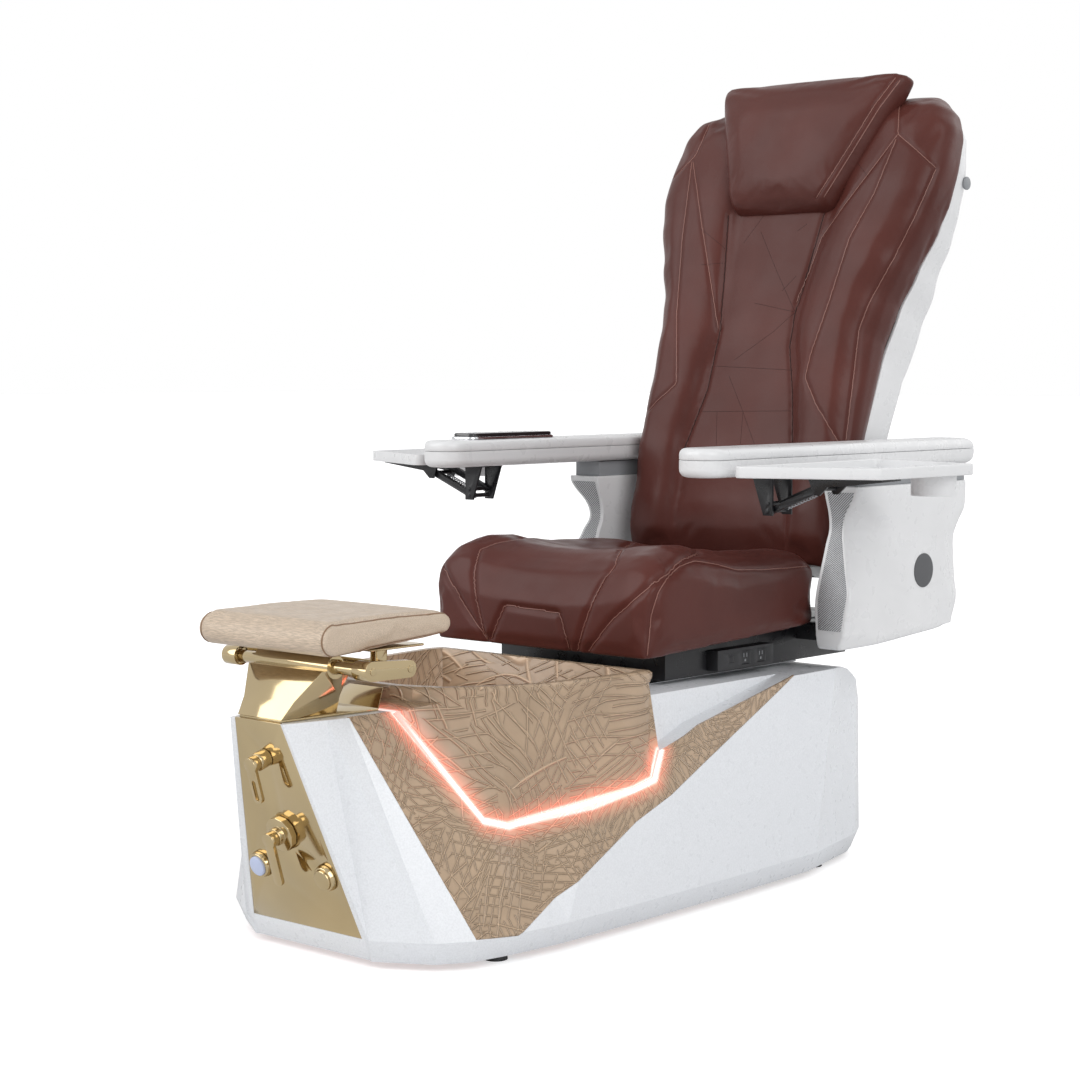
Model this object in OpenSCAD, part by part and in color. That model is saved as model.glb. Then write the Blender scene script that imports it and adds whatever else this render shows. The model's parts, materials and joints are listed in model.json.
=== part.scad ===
// Pedicure chair: a foot basin in a moulded base, with a sliding and reclining seat, lifting arms,
// drop-down side trays and a tilting footrest. Millimetres, +Z up, the sitter faces -Y and the
// sitter's left is +X. The origin is on the floor under the middle of the chair.

/* [Base] */
// Half width of the base at its widest
base_half_w = 304; // [280:1:330]
// Length of the base, from the foot of the front panel to the tail
base_len = 1303; // [1250:1:1360]
// Height of the front deck above the floor
deck_h = 400; // [385:1:415]
// How far the platform that carries the seat rails lies below the deck
platform_drop = 8; // [6:1:20]
// How far the top of the front panel leans ahead of its foot
rake = 102; // [80:1:120]
// Wall of the moulded base
shell_wall = 8; // [5:0.5:12]
// Depth of the textured side panels
accent_t = 4; // [2:0.5:5]

/* [Basin] */
// Half width of the basin at its rim
basin_half_w = 258; // [250:1:262]
// Length of the basin at its rim
basin_len = 430; // [415:1:440]
// Height of the basin rim above the deck
rim_rise = 36; // [30:1:45]
// Height of the basin's inside floor
basin_floor_h = 125; // [110:1:150]
// Width of the basin rim
rim_w = 16; // [12:1:24]
// Radius of the drain outlet under the basin
drain_r = 20; // [15:0.5:25]

/* [Seat] */
// Half width of the seat cushion
cushion_half_w = 261; // [250:1:263]
// Depth of the seat cushion, front to rear
cushion_depth = 507; // [480:1:510]
// Height of the seat cushion's crest above its base
cushion_h = 186; // [160:1:200]
// Half width of the steel seat frame
frame_half_w = 199; // [180:1:205]

/* [Back] */
// Lean of the back from upright, in degrees
back_lean = 21.2; // [18:0.1:24]
// Half width of the back across the shoulders
shoulder_half_w = 333; // [315:1:345]
// Half width of the back at the waist
waist_half_w = 253; // [240:1:255]
// Height of the back along its own slope
back_len = 1046; // [1000:1:1080]

/* [Arms] */
// Distance of each arm's middle from the chair's middle
arm_x = 310; // [309:1:314]
// Half width of an arm
arm_half_w = 45; // [40:1:46]
// Height of the seam round each arm above the base of the seat cushion
arm_rise = 346; // [336:1:356]
// Length of an arm from its front end to its pin
arm_len = 827; // [800:1:850]

/* [Trays] */
// Width of a side tray at its front
tray_w = 243; // [230:1:255]
// Height of a tray's rim
tray_rim_h = 20; // [16:1:24]
// Radius of the cup opening
cup_r = 38; // [34:0.5:40]
// Depth of the cup holder
cup_depth = 57; // [45:1:70]
// Length of the tray links between their pins
link_len = 112; // [104:1:116]

/* [Footrest] */
// Half width of the footrest pad
pad_half_w = 153; // [140:1:156]
// Depth of the footrest pad
pad_depth = 288; // [270:1:292]
// Thickness of the pad at its front edge
pad_t = 52; // [44:1:58]

/* [Hidden] */
$fn = 48;
// Overrun of every cut past its surface
over = 1;
// Clearance of a pin in the bore it turns in
run_gap = 0.05;
// Clearance between pieces that seat on each other
seat_gap = 0.3;
// Clearance between pieces that pass each other
pass_gap = 1;
ivory = "#f1f1f2";
gold = "#c9b078";
tan = "#b9976c";
maroon = "#5a2420";
black = "#18181b";
grey = "#8f9296";
steel = "#c8cacd";

// Joins half an outline to its mirror image, counterclockwise seen from above
function whole(half) = concat(half, [for (i = [len(half) - 1:-1:0]) [-half[i].x, half[i].y]]);
function mix(a, b, t) = a + (b - a) * t;
function at_height(ring, z) = [for (p = ring) [p.x, p.y, z]];
// Moves each point of a ring inward by the distance d
function inset(ring, d) = let (n = len(ring)) [for (i = [0:n - 1])
    let (t = ring[(i + 1) % n] - ring[(i + n - 1) % n]) ring[i] - d * [t.y, -t.x] / norm(t)];
// Scales a ring about a centre so that its half width and half length shrink by d
function shrink(ring, middle_y, half_w, half_l, d) = [for (p = ring)
    [p.x * (half_w - d) / half_w, middle_y + (p.y - middle_y) * (half_l - d) / half_l]];

// A closed skin through rings of equal count, from the lowest ring to the highest. Its faces are
// split the same way on both sides, so that a symmetric set of rings gives a symmetric skin.
module loft(rings) {
    n = len(rings[0]);
    last = (len(rings) - 1) * n;
    sides = [for (k = [0:len(rings) - 2], i = [0:n - 1]) let (j = (i + 1) % n, a = k * n, b = a + n)
        each (2 * i < n - 1
            ? [[a + i, b + i, b + j], [a + i, b + j, a + j]]
            : [[a + i, b + i, a + j], [b + i, b + j, a + j]])];
    polyhedron(
        points = [for (r = rings) each r],
        faces = concat([[for (i = [0:n - 1]) i]], [[for (i = [n - 1:-1:0]) last + i]], sides));
}

// Extrudes an outline drawn in Y and Z along X, centred on X = 0
module along_x(width) {
    rotate([90, 0, 90]) linear_extrude(height = width, center = true) children();
}

// Extrudes an outline drawn in X and Z along Y, from Y = 0 towards the rear
module along_y(length) {
    translate([0, length, 0]) rotate([90, 0, 0]) linear_extrude(height = length) children();
}

// A cylinder along X, centred
module rod_x(r, length) {
    rotate([0, 90, 0]) cylinder(r = r, h = length, center = true);
}

// A cylinder along Y, from its front end
module rod_y(r, length) {
    rotate([-90, 0, 0]) cylinder(r = r, h = length);
}

module mirrored() {
    children();
    mirror([1, 0, 0]) children();
}

// Places of the base
platform_h = deck_h - platform_drop;
rim_h = deck_h + rim_rise;
front_y = -714;
belt_h = 50;
floor_gap = 12;
toe_in = 17;
panel_t = 4;
// Half outline at the belt: shares of the half width and of the length
belt_shares = [[0.428, 0], [0.484, -0.002], [0.789, 0.042], [0.911, 0.086], [0.964, 0.149],
    [1, 0.2325], [1, 0.386], [0.993, 0.5134], [0.987, 0.5955], [0.954, 0.7866], [0.799, 0.9394],
    [0.707, 0.9808], [0.493, 1]];
// Half outline at the deck: shares of the half width, of the length and of the rake
top_shares = [[0.178, 0, 1], [0.207, -0.002, 1], [0.263, 0.0575, 1], [0.289, 0.088, 1],
    [0.319, 0.15, 1], [0.444, 0.1634, 0], [0.822, 0.386, 0], [0.9375, 0.5134, 0],
    [0.954, 0.7084, 0], [0.941, 0.8365, 0], [0.776, 0.944, 0], [0.684, 0.9808, 0],
    [0.477, 0.996, 0]];
// Line of light between basin and side panel: shares of the length and of the deck height
light_shares = [[0.0806, 1], [0.152, 0.555], [0.1865, 0.5225], [0.386, 0.5975], [0.4236, 0.6275],
    [0.4398, 0.745]];
// The rest of the side panel's edge, from the light's rear end round to its front end
accent_shares = [[0.5127, 0.8325], [0.7306, 0.9825], [0.5134, 0.65], [0.1489, 0.115],
    [0.086, 0.13], [0.01, 1.02], [0.0806, 1.02]];
light_r = 5;
light_gap = 0.4;
accent_sink = 1;
recess_x = 250;
tail_y = 380;
tail_len = 212;
tail_drop = 162;
tail_steps = 8;
basin_rear_y = -139;

function belt_point(i) = [belt_shares[i][0] * base_half_w, front_y + belt_shares[i][1] * base_len];
function top_point(i) = [top_shares[i][0] * base_half_w,
    front_y + top_shares[i][1] * base_len - top_shares[i][2] * rake];
function skin_half(z) = [for (i = [0:len(belt_shares) - 1])
    mix(belt_point(i), top_point(i), (z - belt_h) / (deck_h - belt_h))];
// Half width of the base's skin at a place along it and a height
function skin_x(y, z) = lookup(y, [for (p = skin_half(z)) [p.y, p.x]]);
function place(share) = [front_y + share[0] * base_len, share[1] * deck_h];
light_places = [for (s = light_shares) place(s)];
accent_places = concat(light_places, [for (s = accent_shares) place(s)]);
light_points = [for (p = light_places) [skin_x(p.x, p.y), p.x, p.y]];

// The base's skin drawn in by d, running past its floor and deck by the length run
module skin(d, run) {
    loft([
        at_height(inset(whole(skin_half(belt_h)), toe_in + d), floor_gap - run),
        at_height(inset(whole(skin_half(belt_h)), d), belt_h),
        at_height(inset(whole(skin_half(deck_h + run)), d), deck_h + run)]);
}

// Side outline of the base, lowered by d: the front deck, the platform and the round tail
module side_outline(d, low) {
    polygon(concat(
        [[front_y - rake - rim_w, low], [front_y - rake - rim_w, deck_h - d],
            [basin_rear_y, deck_h - d], [basin_rear_y, platform_h - d]],
        [for (i = [0:tail_steps]) let (a = 90 * (1 - i / tail_steps))
            [tail_y + (tail_len - d) * cos(a), platform_h - tail_drop + (tail_drop - d) * sin(a)]],
        [[tail_y + tail_len - d, low]]));
}

// A round tube of radius r through a list of places, square to the path at each
tube_sides = 10;
function unit(v) = v / norm(v);
function tube_ring(p, way, r) = let (a = unit(cross(way, [1, 0, 0])), b = cross(way, a))
    [for (k = [0:tube_sides - 1]) let (t = 360 * k / tube_sides) p + r * (a * cos(t) + b * sin(t))];

module tube(path, r) {
    last = len(path) - 1;
    loft([for (i = [0:last])
        tube_ring(path[i], unit(path[min(i + 1, last)] - path[max(i - 1, 0)]), r)]);
}

module light_path(r) {
    tube(light_points, r);
}

// Height to which cuts above the base run
above = 60;

// Everything above the line of light, from the deck back to the basin's rear
module above_light() {
    along_x(2 * base_half_w + 2 * over) polygon(concat(light_places,
        [[basin_rear_y, light_places[5].y], [basin_rear_y, deck_h + above],
            [light_places[0].x, deck_h + above]]));
}

// The cut-back beside the seat, behind the basin and above the side panel, grown by d
module recess(d) {
    translate([recess_x - d, 0, 0]) rotate([90, 0, 90]) linear_extrude(height = base_half_w)
        offset(delta = d) polygon([light_places[5], accent_places[6], accent_places[7],
            [accent_places[7].x, deck_h + above], [light_places[5].x, deck_h + above]]);
}

module base_shell() {
    width = 2 * base_half_w + 2 * over;
    color(ivory) difference() {
        union() {
            difference() {
                intersection() {
                    skin(0, over);
                    along_x(width) side_outline(0, floor_gap);
                }
                difference() {
                    intersection() {
                        skin(shell_wall, floor_gap);
                        along_x(width) side_outline(shell_wall, over);
                    }
                    mirrored() recess(shell_wall);
                }
            }
            intersection() {
                foot_bosses();
                skin(over, 0);
            }
        }
        foot_holes();
        basin_outer(pass_gap);
        above_light();
        mirrored() recess(0);
        accent_pocket();
        mirrored() light_path(light_r + light_gap);
        front_plate(seat_gap, panel_t + seat_gap);
        panel_holes();
    }
}

// The V of the side panel on the sitter's left, between the skin drawn in by d and the same skin
// moved inward by t
module accent_layer(d, t, grow) {
    difference() {
        intersection() {
            skin(d, over);
            translate([recess_x / 4, 0, 0]) rotate([90, 0, 90])
                linear_extrude(height = base_half_w) offset(delta = grow) polygon(accent_places);
        }
        translate([-t, 0, 0]) skin(d, 3 * over);
    }
}

module accent_pocket() {
    mirrored() accent_layer(-over, accent_t + accent_sink + over + seat_gap, seat_gap);
}

module accent_panels() {
    color(tan) mirrored() difference() {
        accent_layer(accent_sink, accent_t, 0);
        light_path(light_r + light_gap);
        basin_outer(seat_gap);
    }
}

module led_strips() {
    color("#ff8f8a") mirrored() light_path(light_r);
}

// Basin: half outline at the rim, as shares of its half width and length
rim_shares = [[0.2326, 0], [0.539, 0.0744], [0.736, 0.251], [0.895, 0.43], [0.965, 0.7326],
    [1, 0.937], [0.969, 1]];
basin_front_y = basin_rear_y - basin_len;
basin_mid_y = basin_rear_y - basin_len / 2;
lip_h = 12;
lip_out = 4;
basin_wall = 9;
light_in = 2;
foot_share = 0.7;
well_share = 0.75;
well_h = deck_h * well_share;
well_in = 10;
tail_pipe_h = 60;
pipe_wall = 3;
drain_y = -354;

rim_half = [for (s = rim_shares) [s[0] * basin_half_w, basin_front_y + s[1] * basin_len]];
light_mid = (light_points[0] + light_points[1]) / 2;
light_ring_half = [light_points[0], light_mid, light_points[1], light_points[2], light_points[3],
    light_points[4], light_points[5]];
function rim_ring(d) = shrink(whole(rim_half), basin_mid_y, basin_half_w, basin_len / 2, d);
function foot_ring(d) = let (k = foot_share)
    [for (p = rim_ring(d / k)) [p.x * k, basin_mid_y + (p.y - basin_mid_y) * k]];
function light_ring(d) = concat(
    [for (p = light_ring_half) [p.x - light_in - d, p.y, p.z]],
    [for (i = [len(light_ring_half) - 1:-1:0]) let (p = light_ring_half[i])
        [-p.x + light_in + d, p.y, p.z]]);

// The basin's outer form, grown by the distance d
module basin_outer(d) {
    loft([
        at_height(foot_ring(-d), basin_floor_h - basin_wall - d),
        light_ring(-d),
        at_height(rim_ring(-d), rim_h - 2 * lip_h),
        at_height(rim_ring(-d - lip_out), rim_h - lip_h),
        at_height(rim_ring(-d - lip_out), rim_h - lip_out),
        at_height(rim_ring(-d), rim_h)]);
}

module basin() {
    color(tan) difference() {
        union() {
            basin_outer(0);
            translate([0, drain_y, tail_pipe_h]) cylinder(r = drain_r, h = basin_floor_h - tail_pipe_h);
        }
        loft([
            at_height(foot_ring(basin_wall), basin_floor_h),
            at_height(rim_ring(rim_w + well_in), well_h),
            at_height(rim_ring(rim_w), rim_h + over)]);
        translate([0, drain_y, tail_pipe_h - over])
            cylinder(r = drain_r - pipe_wall, h = basin_floor_h - tail_pipe_h + 2 * over);
        mirrored() light_path(light_r + light_gap);
    }
}

strainer_r = 30;
strainer_t = 4;
strainer_hole_r = 3;
strainer_holes = 8;

module drain_strainer() {
    color(steel) translate([0, drain_y, basin_floor_h + seat_gap]) difference() {
        cylinder(r = strainer_r, h = strainer_t);
        for (i = [0:strainer_holes - 1]) rotate(i * 360 / strainer_holes)
            translate([strainer_r / 3, 0, -over])
                cylinder(r = strainer_hole_r, h = strainer_t + 2 * over, $fn = 16);
    }
}

// The water jet on the basin's front wall
jet_r = 42;
jet_depth = 16;
jet_wall = 3;
jet_h = 230;
jet_shaft_r = 4;
jet_slots = 6;
jet_slot_w = 6;
jet_slot_l = 22;
jet_slot_r = 24;
impeller_r = 34;
impeller_hub_r = 9;
blade_t = 3;
blade_count = 6;
impeller_h = 8;
// The front wall's foot and head, seen from the side
wall_foot = [foot_ring(basin_wall)[0].y, basin_floor_h];
wall_head = [rim_ring(rim_w + well_in)[0].y, well_h];
wall_lean = atan((wall_foot.x - wall_head.x) / (wall_head.y - wall_foot.y));
jet_y = lookup(jet_h, [[wall_foot.y, wall_foot.x], [wall_head.y, wall_head.x]]);

module on_jet() {
    translate([0, jet_y, jet_h]) rotate([wall_lean - 90, 0, 0]) translate([0, 0, seat_gap])
        children();
}

module jet_base() {
    color(steel) on_jet() {
        difference() {
            cylinder(r = jet_r, h = jet_depth);
            translate([0, 0, jet_wall]) cylinder(r = jet_r - jet_wall, h = jet_depth);
        }
        cylinder(r = jet_shaft_r, h = jet_wall + impeller_h + pass_gap);
    }
}

module jet_impeller() {
    color(grey) on_jet() translate([0, 0, jet_wall + pass_gap / 2]) difference() {
        union() {
            cylinder(r = impeller_hub_r, h = impeller_h);
            for (i = [0:blade_count - 1]) rotate(i * 360 / blade_count)
                translate([0, -blade_t / 2, 0]) cube([impeller_r, blade_t, impeller_h]);
        }
        translate([0, 0, -over]) cylinder(r = jet_shaft_r + run_gap, h = impeller_h + 2 * over);
    }
}

module jet_cover() {
    color(steel) on_jet() translate([0, 0, jet_depth + seat_gap]) difference() {
        cylinder(r = jet_r, h = jet_wall);
        for (i = [0:jet_slots - 1]) rotate(i * 360 / jet_slots)
            translate([jet_slot_r, 0, jet_wall / 2])
                cube([jet_slot_w, jet_slot_l, jet_wall + 2 * over], center = true);
    }
}

spout_drop = 51;
spout_h = rim_h - spout_drop;
spout_r = 13;
spout_len = 26;
spout_bore = 8;
spout_rose_r = 20;
spout_rose_t = 4;
spout_y = lookup(spout_h, [[well_h, wall_head.x], [rim_h, rim_ring(rim_w)[0].y]]);

module spout() {
    color(steel) translate([0, spout_y + 2 * pass_gap, spout_h]) difference() {
        union() {
            rod_y(spout_rose_r, spout_rose_t);
            rod_y(spout_r, spout_len);
        }
        translate([0, spout_rose_t, 0]) rod_y(spout_bore, spout_len);
    }
}

// The polished front panel, drawn in its own slope with its foot at the bottom
panel_lean = atan(rake / (deck_h - belt_h));
panel_h = (deck_h - belt_h) / cos(panel_lean);
panel_foot = belt_shares[0][0] * base_half_w;
panel_head = top_shares[0][0] * base_half_w;
upper_valve_v = 301;
lower_valve_v = 169;
button_v = 100;
button_u = 78;
hub_r = 15;
hub_l = 22;
hub_stem_r = 9;
rose_r = 30;
rose_l = 12;
rose_facets = 12;
button_r = 17;
button_l = 15;
ring_r = 23;
ring_l = 8;
button_travel = 4;
stem_depth = 26;

module on_panel(u, v) {
    translate([0, front_y, belt_h]) rotate([panel_lean, 0, 0]) translate([u, 0, v])
        rotate([90, 0, 0]) children();
}

module front_plate(grow, depth) {
    on_panel(0, 0) translate([0, 0, -depth]) linear_extrude(height = depth + grow)
        offset(delta = grow) polygon([[-panel_foot, 0], [panel_foot, 0], [panel_head, panel_h],
            [-panel_head, panel_h]]);
}

module panel_holes() {
    hole_depth = shell_wall + stem_depth;
    on_panel(0, upper_valve_v) translate([0, 0, -hole_depth])
        cylinder(r = hub_stem_r + seat_gap, h = hole_depth + over);
    on_panel(0, lower_valve_v) translate([0, 0, -hole_depth])
        cylinder(r = hub_stem_r + seat_gap, h = hole_depth + over);
    for (u = [-button_u, button_u]) on_panel(u, button_v) translate([0, 0, -hole_depth])
        cylinder(r = button_r + 2 * seat_gap, h = hole_depth + over);
}

module front_panel() {
    color(gold) difference() {
        front_plate(0, panel_t);
        panel_holes();
    }
}

module valve_hubs() {
    color(gold) {
        on_panel(0, upper_valve_v) {
            translate([0, 0, seat_gap]) cylinder(r = hub_r, h = hub_l);
            translate([0, 0, -stem_depth]) cylinder(r = hub_stem_r, h = stem_depth + over);
            cylinder(r = spindle_r, h = hub_l + spindle_l);
        }
        on_panel(0, lower_valve_v) {
            translate([0, 0, seat_gap]) cylinder(r = rose_r, h = rose_l, $fn = rose_facets);
            translate([0, 0, seat_gap]) cylinder(r = hub_r, h = hub_l);
            translate([0, 0, -stem_depth]) cylinder(r = hub_stem_r, h = stem_depth + over);
            cylinder(r = spindle_r, h = hub_l + spindle_l);
        }
    }
}

lever_cap_r = 13;
lever_cap_l = 14;
lever_w = 19;
lever_t = 7;
lever_slot_w = 9;
upper_lever_l = 66;
lower_lever_l = 80;
lever_neck_l = 30;
spindle_r = 5;
spindle_l = 8;

// A lever handle that hangs from its turning cap, with a slot when slot_l is above zero
module lever(length, slot_l) {
    difference() {
        union() {
            cylinder(r = lever_cap_r, h = lever_cap_l);
            translate([0, 0, lever_cap_l - lever_t]) hull() {
                cylinder(r = lever_w / 2, h = lever_t);
                translate([0, -length + lever_w / 2, 0]) cylinder(r = lever_w / 2, h = lever_t);
            }
        }
        if (slot_l > 0) translate([0, -length + lever_w / 2, 0]) hull() {
            cylinder(r = lever_slot_w / 2, h = lever_cap_l + over);
            translate([0, slot_l, 0]) cylinder(r = lever_slot_w / 2, h = lever_cap_l + over);
        }
        translate([0, 0, -over]) cylinder(r = spindle_r + run_gap, h = spindle_l + over);
    }
}

module upper_lever() {
    color(gold) on_panel(0, upper_valve_v) translate([0, 0, hub_l + 2 * seat_gap])
        lever(upper_lever_l, upper_lever_l - lever_neck_l - lever_w / 2);
}

module lower_lever() {
    color(gold) on_panel(0, lower_valve_v) translate([0, 0, hub_l + 2 * seat_gap])
        lever(lower_lever_l, 0);
}

module button_rings() {
    color(gold) for (u = [-button_u, button_u]) on_panel(u, button_v)
        translate([0, 0, seat_gap]) difference() {
            cylinder(r1 = ring_r, r2 = ring_r - ring_l / 3, h = ring_l);
            translate([0, 0, -over]) cylinder(r = button_r + run_gap, h = ring_l + 2 * over);
        }
}

module push_button(u) {
    on_panel(u, button_v) translate([0, 0, -button_travel]) {
        cylinder(r = button_r, h = button_l);
        translate([0, 0, button_l]) cylinder(r1 = button_r, r2 = button_r - 2 * over, h = over);
    }
}

module left_button() {
    color("#dfe6f5") push_button(-button_u);
}

module right_button() {
    color(gold) push_button(button_u);
}

// The polished deck plate, folded up against the front of the basin
deck_t = 4;
deck_rear_half_w = 70;
deck_edge = 5;

module deck_plate() {
    rise_y = light_points[0].y - 2 * deck_t;
    head = [rim_ring(0)[0].y - 2 * deck_t, rim_h - lip_out];
    color(gold) intersection() {
        along_x(2 * base_half_w) polygon([[front_y - rake, deck_h + seat_gap],
            [rise_y + deck_t / 2, deck_h + seat_gap], [head.x + deck_t, head.y - deck_t / 2],
            head, [rise_y, deck_h + seat_gap + deck_t],
            [front_y - rake, deck_h + seat_gap + deck_t]]);
        linear_extrude(height = rim_h) polygon([
            [-panel_head + deck_edge, front_y - rake + deck_edge],
            [panel_head - deck_edge, front_y - rake + deck_edge],
            [deck_rear_half_w, rise_y], [deck_rear_half_w / 2, head.x + 2 * deck_t],
            [-deck_rear_half_w / 2, head.x + 2 * deck_t], [-deck_rear_half_w, rise_y]]);
    }
}

// Levelling feet, which screw into bosses inside the base
foot_r = 20;
foot_places = [[242, -521], [218, 399]];
foot_stem_r = 6;
foot_stem_l = 34;
boss_out_r = 34;
boss_h = 30;

module feet() {
    color(black) mirrored() for (p = foot_places) translate([p.x, p.y, 0]) {
        cylinder(r1 = foot_r, r2 = foot_r - 2 * over, h = floor_gap - seat_gap);
        cylinder(r = foot_stem_r, h = foot_stem_l);
    }
}

module foot_bosses() {
    mirrored() for (p = foot_places) translate([p.x, p.y, floor_gap])
        cylinder(r = boss_out_r, h = boss_h);
}

module foot_holes() {
    mirrored() for (p = foot_places) translate([p.x, p.y, 0])
        cylinder(r = foot_stem_r + seat_gap, h = floor_gap + boss_h + over);
}

// Rails that carry the sliding seat
rail_x = 150;
rail_w = 40;
rail_t = 3;
rail_head_w = 20;
rail_head_h = 6;
rail_front_y = -126;
rail_len = 535;

module seat_rails() {
    color(steel) mirrored() translate([rail_x, rail_front_y, platform_h + seat_gap]) {
        translate([-rail_w / 2, 0, 0]) cube([rail_w, rail_len, rail_t]);
        translate([-rail_head_w / 2, 0, 0]) cube([rail_head_w, rail_len, rail_t + rail_head_h]);
    }
}

// Footrest pedestal, its cross shaft and the links
shaft_y = -727;
shaft_rise = 84;
shaft_z = deck_h + shaft_rise;
shaft_r = 10;
boss_r = 19;
pedestal_half_w = 88;
pedestal_foot_half_w = 52;
pedestal_waist_half_w = 60;
pedestal_front_y = -812;
pedestal_head_front_y = -757;
pedestal_rear_y = -693;
pedestal_waist_h = 28;
pedestal_h = 75;
link_hub_r = 16;
link_hub_l = 32;
link_outer_x = 172;
link_plate_t = 12;
link_reach = 83;
rod_r = 7;
screw_r = 6;
screw_h = 2;
pad_pivot_drop = 3;
pad_pivot_z = shaft_z - pad_pivot_drop;
pad_pivot_y = shaft_y + link_reach;

module pedestal() {
    foot_z = deck_h + deck_t + 2 * seat_gap;
    waist_front_y = mix(pedestal_front_y, pedestal_head_front_y, pedestal_waist_h / pedestal_h);
    color(gold) difference() {
        union() {
            loft([for (s = [[pedestal_foot_half_w, pedestal_front_y, 0],
                    [pedestal_waist_half_w, waist_front_y, pedestal_waist_h],
                    [pedestal_half_w, pedestal_head_front_y, pedestal_h]])
                [[s[0], s[1], foot_z + s[2]], [s[0], pedestal_rear_y, foot_z + s[2]],
                    [-s[0], pedestal_rear_y, foot_z + s[2]], [-s[0], s[1], foot_z + s[2]]]]);
            translate([0, shaft_y, shaft_z]) rod_x(boss_r, 2 * pedestal_half_w);
        }
        translate([0, shaft_y, shaft_z]) rod_x(shaft_r, 2 * pedestal_half_w + 2 * over);
    }
}

module cross_shaft() {
    color(gold) translate([0, shaft_y, shaft_z]) rod_x(shaft_r, 2 * link_outer_x - 2 * link_plate_t);
}

module footrest_links() {
    hub_x = link_outer_x - link_hub_l / 2;
    plate_x = link_outer_x - link_plate_t / 2;
    shaft_end = link_outer_x - link_plate_t + seat_gap;
    color(gold) {
        mirrored() difference() {
            union() {
                translate([hub_x, shaft_y, shaft_z]) rod_x(link_hub_r, link_hub_l);
                hull() {
                    translate([plate_x, shaft_y, shaft_z]) rod_x(link_hub_r, link_plate_t);
                    translate([plate_x, pad_pivot_y, pad_pivot_z]) rod_x(link_hub_r - 2, link_plate_t);
                }
                for (p = [[shaft_y, shaft_z], [pad_pivot_y, pad_pivot_z]])
                    translate([link_outer_x, p.x, p.y]) rod_x(screw_r, 2 * screw_h);
            }
            translate([shaft_end - link_hub_l, shaft_y, shaft_z])
                rod_x(shaft_r + run_gap, 2 * link_hub_l);
        }
        translate([0, pad_pivot_y, pad_pivot_z])
            rod_x(rod_r, 2 * link_outer_x - link_plate_t);
    }
}

// Pad, whose underside is level, and its bracket with two lugs on the rod
pad_front_y = -812;
pad_rise = 26;
pad_z = shaft_z + pad_rise;
pad_rear_t = 34;
lug_x = 100;
lug_t = 14;
lug_r = 13;
bracket_t = 4;
bracket_front = 60;

module pad_bracket() {
    plate_z = pad_z - bracket_t - seat_gap;
    color(gold) difference() {
        union() {
            translate([-lug_x - lug_t, pad_pivot_y - bracket_front / 2, plate_z])
                cube([2 * (lug_x + lug_t), 2 * bracket_front, bracket_t]);
            mirrored() hull() {
                translate([lug_x, pad_pivot_y, pad_pivot_z]) rod_x(lug_r, lug_t);
                translate([lug_x - lug_t / 2, pad_pivot_y - lug_r, plate_z])
                    cube([lug_t, 2 * lug_r, bracket_t / 2]);
            }
        }
        translate([0, pad_pivot_y, pad_pivot_z]) rod_x(rod_r + run_gap, 2 * link_outer_x);
    }
}

module footrest_pad() {
    front_r = pad_t / 2;
    rear_r = pad_rear_t / 2;
    color(tan) hull() {
        for (s = [[pad_half_w, 0.8], [pad_half_w - front_r / 3, 1]]) {
            translate([0, pad_front_y + front_r, pad_z + front_r])
                rod_x(front_r * s[1], 2 * s[0], $fn = 28);
            translate([0, pad_front_y + pad_depth - rear_r, pad_z + pad_t - 2 * front_r + rear_r])
                rod_x(rear_r * s[1], 2 * s[0], $fn = 20);
        }
    }
}

// Seat frame: a steel tray under the cushion, with runners, side brackets and hinge ears
seat_front_y = -153;
seat_rise = 62;
seat_base_z = platform_h + seat_rise;
seat_rise_share = 0.0446;
frame_front_y = -31;
frame_len = 565;
frame_rise = 10;
frame_z = platform_h + frame_rise;
frame_wall = 5;
runner_w = 46;
runner_wall = 4;
runner_h = 8;
runner_len = 60;
runner_ys = [-21, 89, 289];
hinge_y = 444;
hinge_rise = 46;
hinge_z = seat_base_z + hinge_rise;
ear_x = 148;
ear_t = 8;
ear_r = 20;
hinge_r = 10;
bracket_y = 364;
bracket_len = 190;
bracket_h = 34;
post_in_x = 278;

function seat_z(y) = seat_base_z + (y - seat_front_y) * seat_rise_share;

module seat_frame() {
    rear_y = frame_front_y + frame_len;
    color(black) difference() {
        union() {
            difference() {
                along_x(2 * frame_half_w) polygon([[frame_front_y, frame_z], [rear_y, frame_z],
                    [rear_y, seat_z(rear_y) - seat_gap],
                    [frame_front_y, seat_z(frame_front_y) - seat_gap]]);
                along_x(2 * (frame_half_w - frame_wall)) polygon([
                    [frame_front_y + frame_wall, frame_z + frame_wall],
                    [rear_y - frame_wall, frame_z + frame_wall],
                    [rear_y - frame_wall, seat_z(rear_y) - 2 * frame_wall],
                    [frame_front_y + frame_wall, seat_z(frame_front_y) - 2 * frame_wall]]);
                translate([-rail_x + runner_w, frame_front_y + runner_w, frame_z - over])
                    cube([2 * (rail_x - runner_w), frame_len - 2 * runner_w, frame_wall + 2 * over]);
            }
            mirrored() translate([frame_half_w - over, bracket_y, seat_z(bracket_y) - bracket_h])
                cube([post_in_x - frame_half_w - seat_gap + over, bracket_len, bracket_h]);
            mirrored() hull() {
                translate([ear_x, hinge_y, hinge_z]) rod_x(ear_r, ear_t);
                translate([ear_x - ear_t / 2, hinge_y - 2 * ear_r, seat_z(hinge_y) - frame_wall])
                    cube([ear_t, 4 * ear_r, over]);
            }
            for (y = runner_ys) mirrored() runner(y);
        }
        translate([0, hinge_y, hinge_z]) rod_x(hinge_r, 2 * post_in_x);
    }
}

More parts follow.
